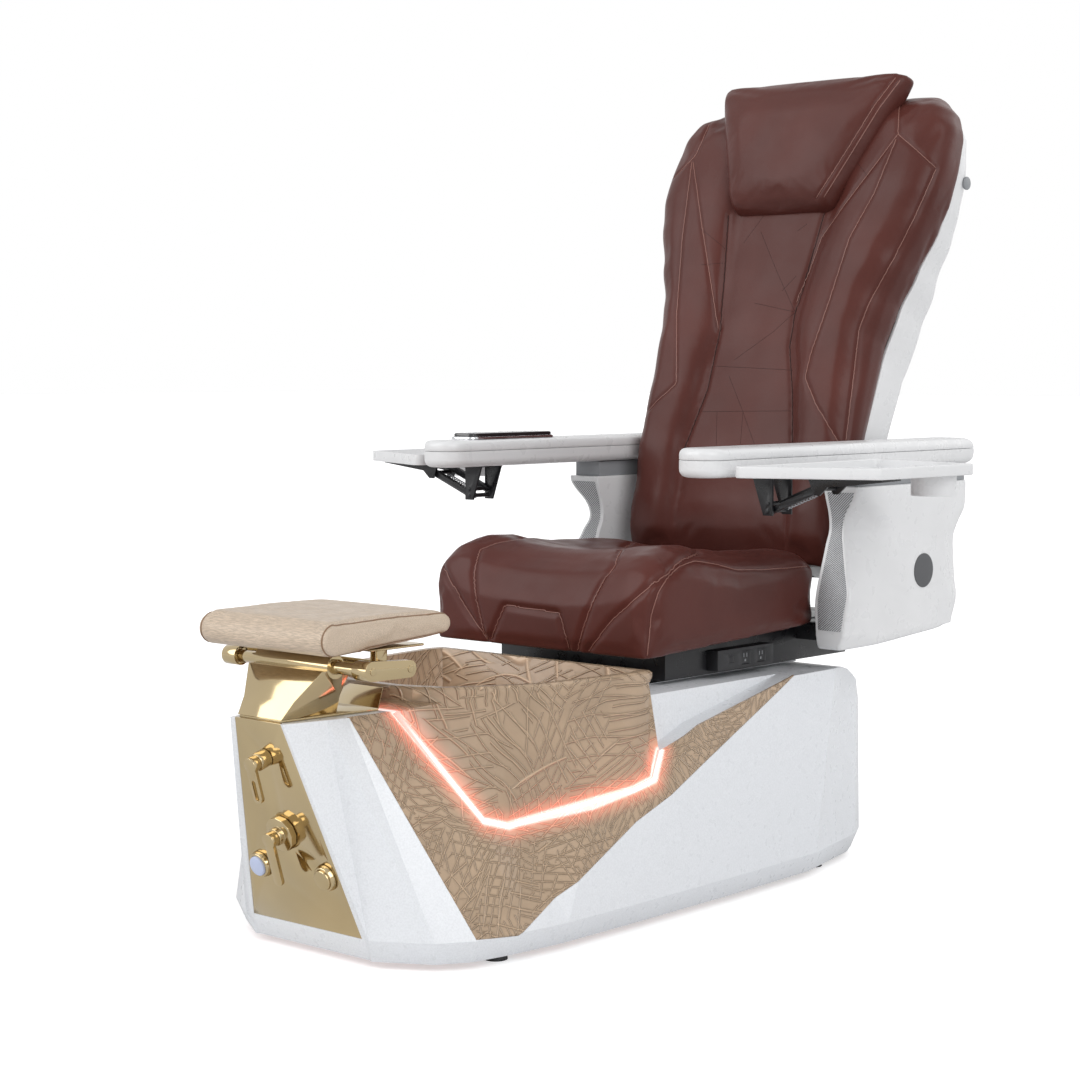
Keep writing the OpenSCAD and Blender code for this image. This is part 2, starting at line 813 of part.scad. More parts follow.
module runner(y) {
    z = platform_h + seat_gap + rail_t + seat_gap;
    translate([rail_x, y, 0]) difference() {
        translate([-runner_w / 2, 0, z]) cube([runner_w, runner_len, frame_z - z + over / 2]);
        translate([-rail_head_w / 2 - seat_gap, -over, z - over])
            cube([rail_head_w + 2 * seat_gap, runner_len + 2 * over,
                rail_head_h + over]);
    }
}

strip_y = 89;
strip_len = 170;
strip_h = 38;
strip_t = 26;
strip_rise = 6;
strip_z = frame_z + strip_rise;
socket_w = 26;
socket_h = 24;
socket_depth = 2;
socket_shares = [0.5, 0.78];

module power_strip() {
    color(black) translate([frame_half_w + seat_gap, strip_y, strip_z]) difference() {
        cube([strip_t, strip_len, strip_h]);
        for (s = socket_shares)
            translate([strip_t - socket_depth, s * strip_len - socket_w / 2, (strip_h - socket_h) / 2])
                cube([socket_depth + over, socket_w, socket_h]);
        translate([strip_t - socket_depth, strip_len / 5, strip_h / 3])
            cube([socket_depth + over, socket_w / 2, strip_h / 3]);
    }
}

// Seat cushion sections: shares of the depth, of the crest height and of the half width
seat_section_shares = [[0, 0.62, 0.97], [0.012, 0.76, 0.985], [0.04, 0.87, 0.995], [0.1, 0.96, 1],
    [0.19, 1, 1], [0.29, 0.965, 1], [0.4, 0.89, 1], [0.55, 0.83, 1], [0.75, 0.79, 1],
    [0.93, 0.75, 0.99], [0.985, 0.68, 0.97], [1, 0.6, 0.95]];
// Crown across the cushion: shares of the half width and of the section's height
seat_crown_shares = [[-1, 0.8], [-0.94, 0.93], [-0.8, 1], [-0.62, 0.97], [-0.45, 0.93],
    [-0.2, 0.91], [0, 0.905], [0.2, 0.91], [0.45, 0.93], [0.62, 0.97], [0.8, 1], [0.94, 0.93],
    [1, 0.8]];

module seat_cushion() {
    color(maroon) loft([for (s = seat_section_shares)
        let (y = seat_front_y + s[0] * cushion_depth, z = seat_z(y), w = s[2] * cushion_half_w,
            h = s[1] * cushion_h)
        concat([[w * 0.97, y, z], [-w * 0.97, y, z], [-w, y, z + h * 0.3]],
            [for (c = seat_crown_shares) [c[0] * w, y, z + c[1] * h]],
            [[w, y, z + h * 0.3]])]);
}

// Posts that carry the arms. Each section holds the front's place, the front face's outer edge,
// where the flat side starts, and the rear's place.
post_out_x = 357;
post_drop = 22;
post_z = seat_base_z - post_drop;
post_rear_rise = 23;
post_first_rise = 27;
post_top_drop = 62;
arm_seam_h = seat_base_z + arm_rise;
post_first_z = post_z + post_first_rise;
post_top_z = arm_seam_h - post_top_drop;
// Height of each section, as shares from the first to the top
post_height_shares = [0, 0.1792, 0.2903, 0.4695, 0.6129, 0.7025, 0.8065, 0.9355, 1];
post_sections = [[319, 342, 399, 687], [315, 352, 389, 705], [319, 355, 381, 699], [335, 338, 404, 693],
    [349, 324, 431, 692], [359, 316, 449, 707], [357, 324, 419, 731], [345, 350, 371, 735],
    [341, 354, 359, 735]];
post_foot = [323, 330, 414, 666];
post_rear_facet = 42;
post_rear_in = 12;

function post_ring(s, lift) = [[post_in_x, s[0]], [s[1], s[0]], [post_out_x, s[2]],
    [post_out_x, s[3] - post_rear_facet], [post_out_x - post_rear_in, s[3]], [post_in_x, s[3]]];
function post_slope(ring, z) = [for (p = ring)
    [p.x, p.y, z + (p.y - post_foot[0]) / (post_foot[3] - post_foot[0]) * post_rear_rise]];

function post_section_z(i) = mix(post_first_z, post_top_z, post_height_shares[i]);

module post() {
    loft(concat([post_slope(post_ring(post_foot), post_z)],
        [for (i = [0:len(post_sections) - 1])
            at_height(post_ring(post_sections[i]), post_section_z(i))]));
}

module post_left() {
    color(ivory) post();
}

module post_right() {
    color(ivory) mirror([1, 0, 0]) post();
}

insert_t = 2;
insert_edge = 7;

// The striped face on the front of each post
module post_inserts() {
    color(grey) mirrored() loft([for (i = [0:len(post_sections) - 1])
        let (y = post_sections[i][0] - seat_gap, x = post_sections[i][1] - insert_edge)
        at_height([[post_in_x + insert_edge, y - insert_t], [x, y - insert_t],
            [x, y], [post_in_x + insert_edge, y]], post_section_z(i))]);
}

// Arms: the pin, the collar with its ear, the lower shell and the pad
arm_pin_y = 724;
arm_pin_drop = 5;
arm_pin_z = arm_seam_h - arm_pin_drop;
arm_pin_r = 6;
arm_low_h = 31;
arm_pad_h = 21;
arm_end_r = 26;
arm_front_r = 40;
arm_chamfer = 15;
collar_in = 5;
collar_front_y = 354;
ear_thick = 20;
ear_round = 14;
slot_gap = 1.5;
arm_front_y = arm_pin_y - arm_len;
collar_top = arm_seam_h - arm_low_h - pass_gap;

module arm_collar() {
    top = post_top_z + seat_gap;
    difference() {
        union() {
            translate([post_in_x + collar_in, collar_front_y, top])
                cube([post_out_x - post_in_x - 3 * collar_in, arm_pin_y - collar_front_y,
                    collar_top - top]);
            hull() {
                translate([arm_x, arm_pin_y, arm_pin_z]) rod_x(ear_round, ear_thick);
                translate([arm_x - ear_thick / 2, arm_pin_y - ear_round, collar_top - over])
                    cube([ear_thick, ear_round + collar_in, over]);
            }
        }
        translate([arm_x, arm_pin_y, arm_pin_z]) rod_x(arm_pin_r, 2 * ear_thick);
    }
}

module arm_collars() {
    color(grey) mirrored() arm_collar();
}

module arm_pins() {
    color(steel) mirrored() translate([arm_x, arm_pin_y, arm_pin_z])
        rod_x(arm_pin_r, 2 * (arm_half_w - collar_in - pass_gap));
}

// Plan of an arm, drawn in by d all round
module arm_plan(d) {
    hull() {
        for (x = [-1, 1]) translate([arm_x + x * (arm_half_w - arm_front_r), arm_front_y + arm_front_r])
            circle(r = arm_front_r - d, $fn = 32);
        translate([arm_x - arm_half_w + d, arm_pin_y])
            square([2 * (arm_half_w - d), arm_end_r - d]);
    }
}

// Side view of an arm, round at its rear about the pin
module arm_side() {
    along_x(2 * (arm_x + arm_half_w)) {
        translate([arm_front_y - over, arm_seam_h - arm_low_h])
            square([arm_len + over, arm_low_h + arm_pad_h]);
        translate([arm_pin_y, arm_pin_z]) circle(r = arm_end_r);
    }
}

module arm_base() {
    low = arm_seam_h - arm_low_h;
    difference() {
        intersection() {
            hull() {
                translate([0, 0, low]) linear_extrude(height = over) arm_plan(arm_chamfer);
                translate([0, 0, low + arm_chamfer])
                    linear_extrude(height = arm_low_h - arm_chamfer - seat_gap) arm_plan(0);
            }
            arm_side();
        }
        translate([arm_x - ear_thick / 2 - slot_gap, arm_pin_y - ear_round - 3 * slot_gap, low - over])
            cube([ear_thick + 2 * slot_gap, 2 * arm_half_w, arm_low_h + 2 * over]);
        translate([arm_x, arm_pin_y, arm_pin_z]) rod_x(arm_pin_r + run_gap, 2 * arm_half_w - 2 * collar_in);
    }
}

module arm_pad() {
    difference() {
        intersection() {
            hull() {
                translate([0, 0, arm_seam_h + seat_gap])
                    linear_extrude(height = arm_pad_h / 2) arm_plan(0);
                translate([0, 0, arm_seam_h + arm_pad_h - over])
                    linear_extrude(height = over) arm_plan(arm_chamfer / 2);
            }
            arm_side();
        }
        translate([arm_x, arm_pin_y, arm_pin_z])
            rod_x(ear_round + slot_gap, ear_thick + 2 * slot_gap);
        translate([arm_x, arm_pin_y, arm_pin_z]) rod_x(arm_pin_r + run_gap, 2 * arm_half_w - 2 * collar_in);
    }
}

module arm_base_left() {
    color(ivory) arm_base();
}

module arm_base_right() {
    color(ivory) mirror([1, 0, 0]) arm_base();
}

module arm_pad_left() {
    color(ivory) arm_pad();
}

module arm_pad_right() {
    color(ivory) mirror([1, 0, 0]) arm_pad();
}

remote_in = 75;
remote_y = arm_front_y + remote_in;
remote_len = 245;
remote_w = 62;
remote_t = 7;
cradle_t = 5;

// The remote control in its shallow cradle, on the sitter's right arm
module remote() {
    top = arm_seam_h + arm_pad_h + seat_gap;
    color(black) translate([-arm_x, remote_y, top]) {
        translate([-remote_w / 2, 0, 0]) cube([remote_w, remote_len, cradle_t]);
        translate([-remote_w / 2 + cradle_t, cradle_t, cradle_t])
            cube([remote_w - 2 * cradle_t, remote_len - 2 * cradle_t, remote_t]);
    }
}

// Tray linkage on the sitter's left: two parallel links between a bracket and the tray's channel
bracket_in = 154;
bracket_front_y = arm_front_y + bracket_in;
bracket_gap = 60;
plate_t = 4;
bracket_in_x = 328;
bracket_out_x = 372;
arm_low_z = arm_seam_h - arm_low_h;
bracket_h_side = 69;
bracket_low_z = arm_low_z - bracket_h_side;
low_pin_x = 362;
low_pin_drop = 61;
low_pin = [low_pin_x, arm_low_z - low_pin_drop];
pin_lift = [0, 13];
link_tilt = 21.9;
link_pin_r = 4;
open_gap = 0.4;
link_w = 11;
low_link_in = 6;
up_link_in = 44;
spring_in = 29;
low_link_y = bracket_front_y + low_link_in;
up_link_y = bracket_front_y + up_link_in;
link_t = 12;
spring_y = bracket_front_y + spring_in;
spring_r = 6;
spring_turns = 10;
wire_r = 1.2;
link_way = link_len * [cos(link_tilt), sin(link_tilt)];
tray_low_pin = low_pin + link_way;
tray_up_pin = low_pin + pin_lift + link_way;

module pin_through(p, r, start, length) {
    translate([p.x, start, p.y]) rod_y(r, length);
}

module tray_bracket() {
    for (y = [bracket_front_y, bracket_front_y + bracket_gap - plate_t])
        translate([0, y, 0]) along_y(plate_t) polygon([
            [bracket_in_x, arm_low_z - seat_gap], [bracket_out_x, arm_low_z - seat_gap],
            [bracket_out_x, bracket_low_z], [bracket_out_x - 5 * plate_t, bracket_low_z]]);
    translate([bracket_in_x, bracket_front_y, arm_low_z - seat_gap - plate_t])
        cube([arm_x + arm_half_w - arm_chamfer - bracket_in_x, bracket_gap, plate_t]);
    for (p = [low_pin, low_pin + pin_lift])
        pin_through(p, link_pin_r, bracket_front_y - screw_h, bracket_gap + 2 * screw_h);
}

module tray_bracket_left() {
    color(black) tray_bracket();
}

module tray_bracket_right() {
    color(black) mirror([1, 0, 0]) tray_bracket();
}

// A flat link from pin a to pin b, with a wider bore at b when gap_b is larger
module flat_link(a, b, y, gap_b) {
    difference() {
        hull() {
            pin_through(a, link_w / 2, y, link_t);
            pin_through(b, link_w / 2, y, link_t);
        }
        pin_through(a, link_pin_r + run_gap, y - over, link_t + 2 * over);
        pin_through(b, link_pin_r + gap_b, y - over, link_t + 2 * over);
    }
}

// Places along the lower link, as shares of its length, of the stubs that hold the spring
stub_shares = [0.18, 0.82];
stub_r = 2 * wire_r;

module lower_link() {
    flat_link(low_pin, tray_low_pin, low_link_y, run_gap);
    for (t = stub_shares)
        pin_through(mix(low_pin, tray_low_pin, t), stub_r, low_link_y + link_t - over,
            spring_y + spring_r - low_link_y - link_t + over);
}

module lower_link_left() {
    color(black) lower_link();
}

module lower_link_right() {
    color(black) mirror([1, 0, 0]) lower_link();
}

module upper_link() {
    flat_link(low_pin + pin_lift, tray_up_pin, up_link_y, open_gap);
}

module upper_link_left() {
    color(black) upper_link();
}

module upper_link_right() {
    color(black) mirror([1, 0, 0]) upper_link();
}

// Coil spring between the two stubs of the lower link
spring_ring = 6;
spring_steps = 8;

function coil_point(k, pitch, r) = let (a = 360 * k / spring_steps)
    [r * cos(a), r * sin(a), k * pitch / spring_steps];

module coil(turns, pitch, r, wire) {
    n = turns * spring_steps;
    loft([for (k = [n:-1:0])
        let (c = coil_point(k, pitch, r), out = unit([c.x, c.y, 0]))
        [for (j = [0:spring_ring - 1]) let (b = 360 * j / spring_ring)
            c + wire * (cos(b) * out + [0, 0, sin(b)])]]);
}

stub_span = link_len * (stub_shares[1] - stub_shares[0]);
spring_room = stub_r + wire_r + seat_gap;
spring_pitch = (stub_span - 2 * spring_room) / (spring_turns - 1 / 2);
spring_points = [for (k = [0:spring_turns * spring_steps]) coil_point(k, spring_pitch, spring_r)];
echo(least_gap_of_spring = min([for (i = [0:len(spring_points) - 1])
    for (j = [i + spring_steps / 2:len(spring_points) - 1])
        norm(spring_points[i] - spring_points[j])]) - 2 * wire_r);

module link_spring() {
    start = mix(low_pin, tray_low_pin, stub_shares[0])
        + (spring_room - spring_pitch / 4) * link_way / link_len;
    translate([start.x, spring_y, start.y]) rotate([0, 90 - link_tilt, 0])
        coil(spring_turns, spring_pitch, spring_r, wire_r);
}

module link_spring_left() {
    color(grey) link_spring();
}

module link_spring_right() {
    color(grey) mirror([1, 0, 0]) link_spring();
}

// Tray: shares of its width and length for each corner, drawn round
tray_in_x = 375;
tray_in = 24;
tray_front_y = arm_front_y + tray_in;
tray_len = 448;
tray_corner_shares = [[0, 0], [0.976, 0.24], [1.02, 0.87], [0, 1]];
tray_round = 16;
tray_wall = 7;
tray_floor_t = 4;
tray_drop = 9;
tray_top_z = arm_seam_h - tray_drop;
cup_wall = 2;
cup_x = 562;
cup_in = 350;
cup_y = tray_front_y + cup_in;
tray_low_z = tray_top_z - tray_rim_h;
channel_in_x = 446;
channel_out_x = 598;
channel_h = 32;
channel_low_z = tray_low_z - channel_h;
channel_depth = 17;

module tray_plan(d) {
    offset(r = tray_round - d) offset(delta = -tray_round) polygon([for (s = tray_corner_shares)
        [tray_in_x + s[0] * tray_w, tray_front_y + s[1] * tray_len]]);
}

module tray() {
    difference() {
        translate([0, 0, tray_low_z]) linear_extrude(height = tray_rim_h) tray_plan(0);
        translate([0, 0, tray_low_z + tray_floor_t])
            linear_extrude(height = tray_rim_h) tray_plan(tray_wall);
        translate([cup_x, cup_y, tray_low_z - over])
            cylinder(r = cup_r + cup_wall + seat_gap, h = tray_rim_h);
    }
}

module tray_left() {
    color(ivory) tray();
}

module tray_right() {
    color(ivory) mirror([1, 0, 0]) tray();
}

// Cup holder that hangs in the tray by its lip
module cup() {
    translate([cup_x, cup_y, tray_top_z - cup_depth]) difference() {
        union() {
            cylinder(r = cup_r + cup_wall, h = cup_depth - tray_rim_h / 4);
            translate([0, 0, cup_depth - tray_rim_h + tray_floor_t + seat_gap])
                cylinder(r = cup_r + 3 * cup_wall, h = cup_wall);
        }
        translate([0, 0, cup_wall]) cylinder(r = cup_r, h = cup_depth);
    }
}

module cup_left() {
    color(ivory) cup();
}

module cup_right() {
    color(ivory) mirror([1, 0, 0]) cup();
}

// Channel under the tray, with the two pins that the links turn on
module tray_channel() {
    top = tray_low_z - seat_gap;
    for (y = [bracket_front_y, bracket_front_y + bracket_gap - plate_t])
        translate([0, y, 0]) along_y(plate_t) polygon([[channel_in_x, top], [channel_out_x, top],
            [channel_out_x, top - plate_t], [tray_low_pin.x + 2 * link_w, top - channel_depth],
            [tray_low_pin.x + link_w / 2, channel_low_z], [tray_low_pin.x - link_w / 2, channel_low_z]]);
    translate([tray_low_pin.x + 2 * link_w, bracket_front_y, top - plate_t])
        cube([channel_out_x - tray_low_pin.x - 2 * link_w, bracket_gap, plate_t]);
    for (p = [tray_low_pin, tray_up_pin])
        pin_through(p, link_pin_r, bracket_front_y, bracket_gap);
}

module tray_channel_left() {
    color(black) tray_channel();
}

module tray_channel_right() {
    color(black) mirror([1, 0, 0]) tray_channel();
}

// The back is drawn upright from its hinge and then leaned: X across, Y towards the rear, Z up it
module on_back() {
    translate([0, hinge_y, hinge_z]) rotate([-back_lean, 0, 0]) children();
}

module recline_pin() {
    color(steel) translate([0, hinge_y, hinge_z]) rod_x(hinge_r, 2 * (ear_x + ear_t));
}

// Sections of the back: shares of its length, half width (shoulder and waist shares) and depth
back_start = 60;
back_section_shares = [[0, 0, 0.97], [0.02, 0, 0.985], [0.12, 0, 1], [0.23, 0, 1.005],
    [0.345, 0, 1.005], [0.455, 0, 1], [0.53, 0.18, 1], [0.61, 0.48, 1], [0.7, 0.82, 1],
    [0.76, 0.98, 1], [0.83, 1, 1], [0.9, 0.9, 1], [0.94, 0.65, 1], [0.975, 0.15, 1],
    [0.995, -0.3, 1]];
// Front of the cushion ahead of the hinge line, by share of the length
front_depths = [[0, 84], [0.12, 98], [0.23, 116], [0.345, 128], [0.455, 148], [0.61, 153],
    [0.76, 150], [0.9, 132], [0.975, 112], [1, 100]];
cushion_rear = 41;
edge_round = 42;
// Across the cushion: share of the half width, and depth behind the front line
bolster_shares = [[1, 1], [0.97, 0.55], [0.9, 0.25], [0.76, 0.05], [0.6, 0], [0.47, 0.45],
    [0.41, 0.8], [0.35, 0.62], [0.18, 0.58], [0, 0.56]];

function back_half_w(s) = s[2] * (waist_half_w + s[1] * (shoulder_half_w - waist_half_w));
function back_z(share) = back_start + share * (back_len - back_start);

// The back cushion's form, grown by d at its front and sides
module back_form(d) {
    loft([for (s = back_section_shares)
        let (w = back_half_w(s) + d, f = -lookup(s[0], front_depths) - d,
            half = [for (b = bolster_shares) [w * b[0], f + edge_round * b[1]]])
        at_height(concat([[w * 0.96, -cushion_rear], [-w * 0.96, -cushion_rear]],
            [for (p = half) [-p.x, p.y]],
            [for (i = [len(half) - 2:-1:0]) half[i]]), back_z(s[0]))]);
}

// Two blocks of foam, one below the other, that meet at the waist under one cover
block_gap = 0.3;
waist_end_share = 0.5;

module back_cushion() {
    wide = 2 * shoulder_half_w;
    deep = 2 * wide;
    color(maroon) on_back() difference() {
        back_form(0);
        translate([-wide, -deep / 2, back_z(waist_end_share)]) cube([2 * wide, deep, block_gap]);
    }
}

pillow_drop = 278;
pillow_z = back_len - pillow_drop;
pillow_len = 282;
pillow_half_foot = 121;
pillow_half_head = 229;
pillow_front = 176;
pillow_rear = 112;
// Head pillow sections: shares of its length, width and thickness
pillow_shares = [[0, 0.94, 0.55], [0.03, 1, 0.85], [0.12, 1, 1], [0.5, 1, 1], [0.85, 1, 0.9],
    [0.97, 0.98, 0.55], [1, 0.94, 0.3]];
pillow_round_shares = [[1, 0], [1, 0.5], [0.96, 0.8], [0.85, 0.95], [0.5, 1], [0, 1]];

module head_pillow() {
    color(maroon) on_back() difference() {
        loft([for (s = pillow_shares)
            let (w = s[1] * mix(pillow_half_foot, pillow_half_head, s[0]),
                t = s[2] * (pillow_front - pillow_rear),
                half = [for (r = pillow_round_shares) [w * r[0], -pillow_rear - t * r[1]]])
            at_height(concat([for (p = half) [-p.x, p.y]],
                [for (i = [len(half) - 2:-1:0]) half[i]]), pillow_z + s[0] * pillow_len)]);
        back_form(seat_gap);
    }
}

shell_in = 8;
shell_rear = 62;
shell_side = 18;
shell_slope = 46;
shell_t = 6;
shell_sections = [[0, 0, 0.94], [0.12, 0, 0.95], [0.42, 0, 0.96], [0.53, 0.18, 0.97],
    [0.61, 0.48, 0.97], [0.7, 0.82, 0.97], [0.76, 0.95, 0.97], [0.83, 0.97, 0.97],
    [0.9, 0.85, 0.97], [0.94, 0.6, 0.96], [0.97, 0.1, 0.95]];
// Depth of the moulded back behind the hinge line, by share of the length
shell_depths = [[0, 50], [0.42, 50], [0.43, 62], [0.83, 62], [0.94, 36], [0.97, 0]];

function shell_ring(s, d) = let (w = back_half_w(s) - d, y = lookup(s[0], shell_depths) - d)
    [[w, -cushion_rear + seat_gap], [w, min(shell_side, y - over)], [w - shell_slope, y],
        [-w + shell_slope, y], [-w, min(shell_side, y - over)], [-w, -cushion_rear + seat_gap]];

module back_shell() {
    last = len(shell_sections) - 2;
    color(ivory) on_back() difference() {
        loft([for (s = shell_sections) at_height(shell_ring(s, 0), back_z(s[0]) + shell_in)]);
        translate([0, -over, 0])
            loft([for (i = [0:last]) let (s = shell_sections[i])
                at_height(shell_ring(s, shell_t), back_z(s[0]) + shell_in + (i == 0 ? shell_t : 0))]);
        translate([-track_x - track_w, -cushion_rear, back_start])
            cube([2 * (track_x + track_w), cushion_rear + shell_rear - shell_t, 2 * shell_t + shell_in]);
    }
}

module side_caps() {
    z = back_z(shell_sections[7][0]);
    x = back_half_w(shell_sections[7]);
    color(grey) on_back() mirrored() translate([x + seat_gap + cap_t / 2, -cap_r / 2, z])
        rod_x(cap_r, cap_t);
}

cap_r = 13;
cap_t = 5;

// Steel frame inside the back, whose uprights are the massage carriage's tracks
track_x = 120;
track_w = 22;
track_front = cushion_rear - seat_gap;
track_rear = 30;
track_end_share = 0.8114;
track_len = back_z(track_end_share);
bar_h = 24;
bar_t = 8;
bar_shares = [0.128, 0.5465, 0.9535];
lug_back_r = 18.5;

module back_frame() {
    color(black) on_back() difference() {
        union() {
            mirrored() {
                translate([track_x - track_w / 2, -track_front, 0])
                    cube([track_w, track_front + track_rear, track_len]);
                translate([track_x, 0, 0]) rod_x(lug_back_r, track_w);
            }
            for (share = bar_shares) translate([-track_x, track_rear - bar_t, share * track_len])
                cube([2 * track_x, bar_t, bar_h]);
        }
        rod_x(hinge_r + run_gap, 4 * track_x);
        translate([-track_x - track_w, -track_front - over, -lug_back_r - over])
            cube([2 * (track_x + track_w), track_front - lug_back_r + over, 2 * lug_back_r + over]);
        translate([-track_x - track_w, lug_back_r, -lug_back_r - over])
            cube([2 * (track_x + track_w), track_rear, 2 * lug_back_r + over]);
    }
}

carriage_z = 220;
carriage_h = 90;
carriage_rear = 16;
roller_r = 20;
roller_l = 26;
roller_shaft_r = 5;
roller_y = -12;
roller_xs = [-72, -30, 30, 72];
cheek_t = 6;
cheek_front = 28;

module massage_carriage() {
    half_w = track_x - track_w / 2 - seat_gap;
    cheek_h = carriage_h / 2;
    color(steel) on_back() translate([0, 0, carriage_z]) difference() {
        union() {
            translate([-half_w, carriage_rear - cheek_t, 0]) cube([2 * half_w, cheek_t, carriage_h]);
            mirrored() translate([half_w - cheek_t, -cheek_front, carriage_h / 2 - cheek_h / 2])
                cube([cheek_t, cheek_front + carriage_rear, cheek_h]);
        }
        translate([0, roller_y, carriage_h / 2]) rod_x(roller_shaft_r + run_gap, 2 * track_x);
    }
}

module massage_rollers() {
    half_w = track_x - track_w / 2 - 2 * seat_gap;
    color(grey) on_back() translate([0, roller_y, carriage_z + carriage_h / 2]) {
        rod_x(roller_shaft_r, 2 * half_w);
        for (x = roller_xs) translate([x, 0, 0]) rod_x(roller_r, roller_l);
    }
}

base_shell();
basin();
accent_panels();
led_strips();
front_panel();
deck_plate();
feet();
drain_strainer();
jet_base();
jet_impeller();
jet_cover();
spout();
seat_rails();
valve_hubs();
upper_lever();
lower_lever();
button_rings();
left_button();
right_button();
pedestal();
cross_shaft();
footrest_links();
pad_bracket();
footrest_pad();
seat_frame();
power_strip();
seat_cushion();
post_left();
post_right();
post_inserts();
arm_collars();
arm_pins();
recline_pin();
back_frame();
back_shell();
back_cushion();
head_pillow();
side_caps();
massage_carriage();
massage_rollers();
arm_base_left();
arm_base_right();
arm_pad_left();
arm_pad_right();
remote();
tray_bracket_left();
tray_bracket_right();
lower_link_left();
lower_link_right();
upper_link_left();
upper_link_right();
link_spring_left();
link_spring_right();
tray_channel_left();
tray_channel_right();
tray_left();
tray_right();
cup_left();
cup_right();
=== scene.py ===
import json
import math

import bmesh
import bpy
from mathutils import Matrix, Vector
from mathutils.bvhtree import BVHTree
from mathutils.kdtree import KDTree


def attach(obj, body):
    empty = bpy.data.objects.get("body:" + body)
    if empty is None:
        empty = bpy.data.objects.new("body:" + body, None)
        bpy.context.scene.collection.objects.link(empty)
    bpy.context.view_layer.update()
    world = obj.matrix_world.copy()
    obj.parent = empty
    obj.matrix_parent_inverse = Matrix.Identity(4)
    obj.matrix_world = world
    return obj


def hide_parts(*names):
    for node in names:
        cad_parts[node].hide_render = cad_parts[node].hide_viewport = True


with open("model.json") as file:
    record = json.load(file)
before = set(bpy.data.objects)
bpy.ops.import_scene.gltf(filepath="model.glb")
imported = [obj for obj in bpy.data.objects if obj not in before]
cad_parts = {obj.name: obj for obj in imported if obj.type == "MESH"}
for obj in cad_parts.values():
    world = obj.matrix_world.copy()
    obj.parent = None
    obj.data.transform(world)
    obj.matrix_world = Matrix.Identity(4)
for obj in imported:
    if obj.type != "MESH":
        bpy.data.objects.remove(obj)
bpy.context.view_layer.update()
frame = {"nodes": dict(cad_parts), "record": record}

RECORD = frame["record"]
BODY_OF = {n: b for b, nodes in RECORD["behaviour"]["bodies"].items() for n in nodes}
MM = 0.001
WHITE = (1.0, 1.0, 1.0, 1.0)
CUBE_FACES = [(0, 1, 3, 2), (4, 6, 7, 5), (0, 4, 5, 1), (2, 3, 7, 6), (0, 2, 6, 4), (1, 5, 7, 3)]
scene = bpy.context.scene
scene.view_settings.view_transform = "Standard"

# ---- camera, fitted to the photograph ----

AZIMUTH = math.radians(41.911)
PITCH = math.radians(4.326)
EYE = Vector((2.754609, -3.212307, 0.961902))
FOCAL = 2299.912
HALF_FRAME = 540.0
SENSOR_WIDTH = 36.0
FAR_CLIP = 100.0
AHEAD = Vector((-math.sin(AZIMUTH) * math.cos(PITCH), math.cos(AZIMUTH) * math.cos(PITCH),
                -math.sin(PITCH)))
ACROSS = Vector((math.cos(AZIMUTH), math.sin(AZIMUTH), 0.0))
UP = ACROSS.cross(AHEAD)

camera_data = bpy.data.cameras.new("camera")
camera_data.sensor_width = SENSOR_WIDTH
camera_data.lens = FOCAL / (2 * HALF_FRAME) * SENSOR_WIDTH
camera_data.clip_end = FAR_CLIP
camera = bpy.data.objects.new("camera", camera_data)
camera.location = EYE
camera.rotation_euler = (math.pi / 2 - PITCH, 0.0, AZIMUTH)
scene.collection.objects.link(camera)
scene.camera = camera


def pixel_way(x, y):
    """Direction from the camera through a pixel of the 1080 pixel photograph."""
    return (AHEAD * FOCAL + ACROSS * (x - HALF_FRAME) + UP * (HALF_FRAME - y)).normalized()


# ---- materials ----

# Line of light on each side of the base: places along it, as Y and Z; the acrylic near it is given a painted
# glow
LIGHT_LINE = [(-0.609, 0.4), (-0.5159, 0.222), (-0.471, 0.209),
              (-0.211, 0.239), (-0.162, 0.251), (-0.1409, 0.298)]
LIGHT_HALF = 0.004
FAR_PAINTED_GLOW, NEAR_PAINTED_GLOW = 0.045, 0.012
COAT_ROUGHNESS = 0.12


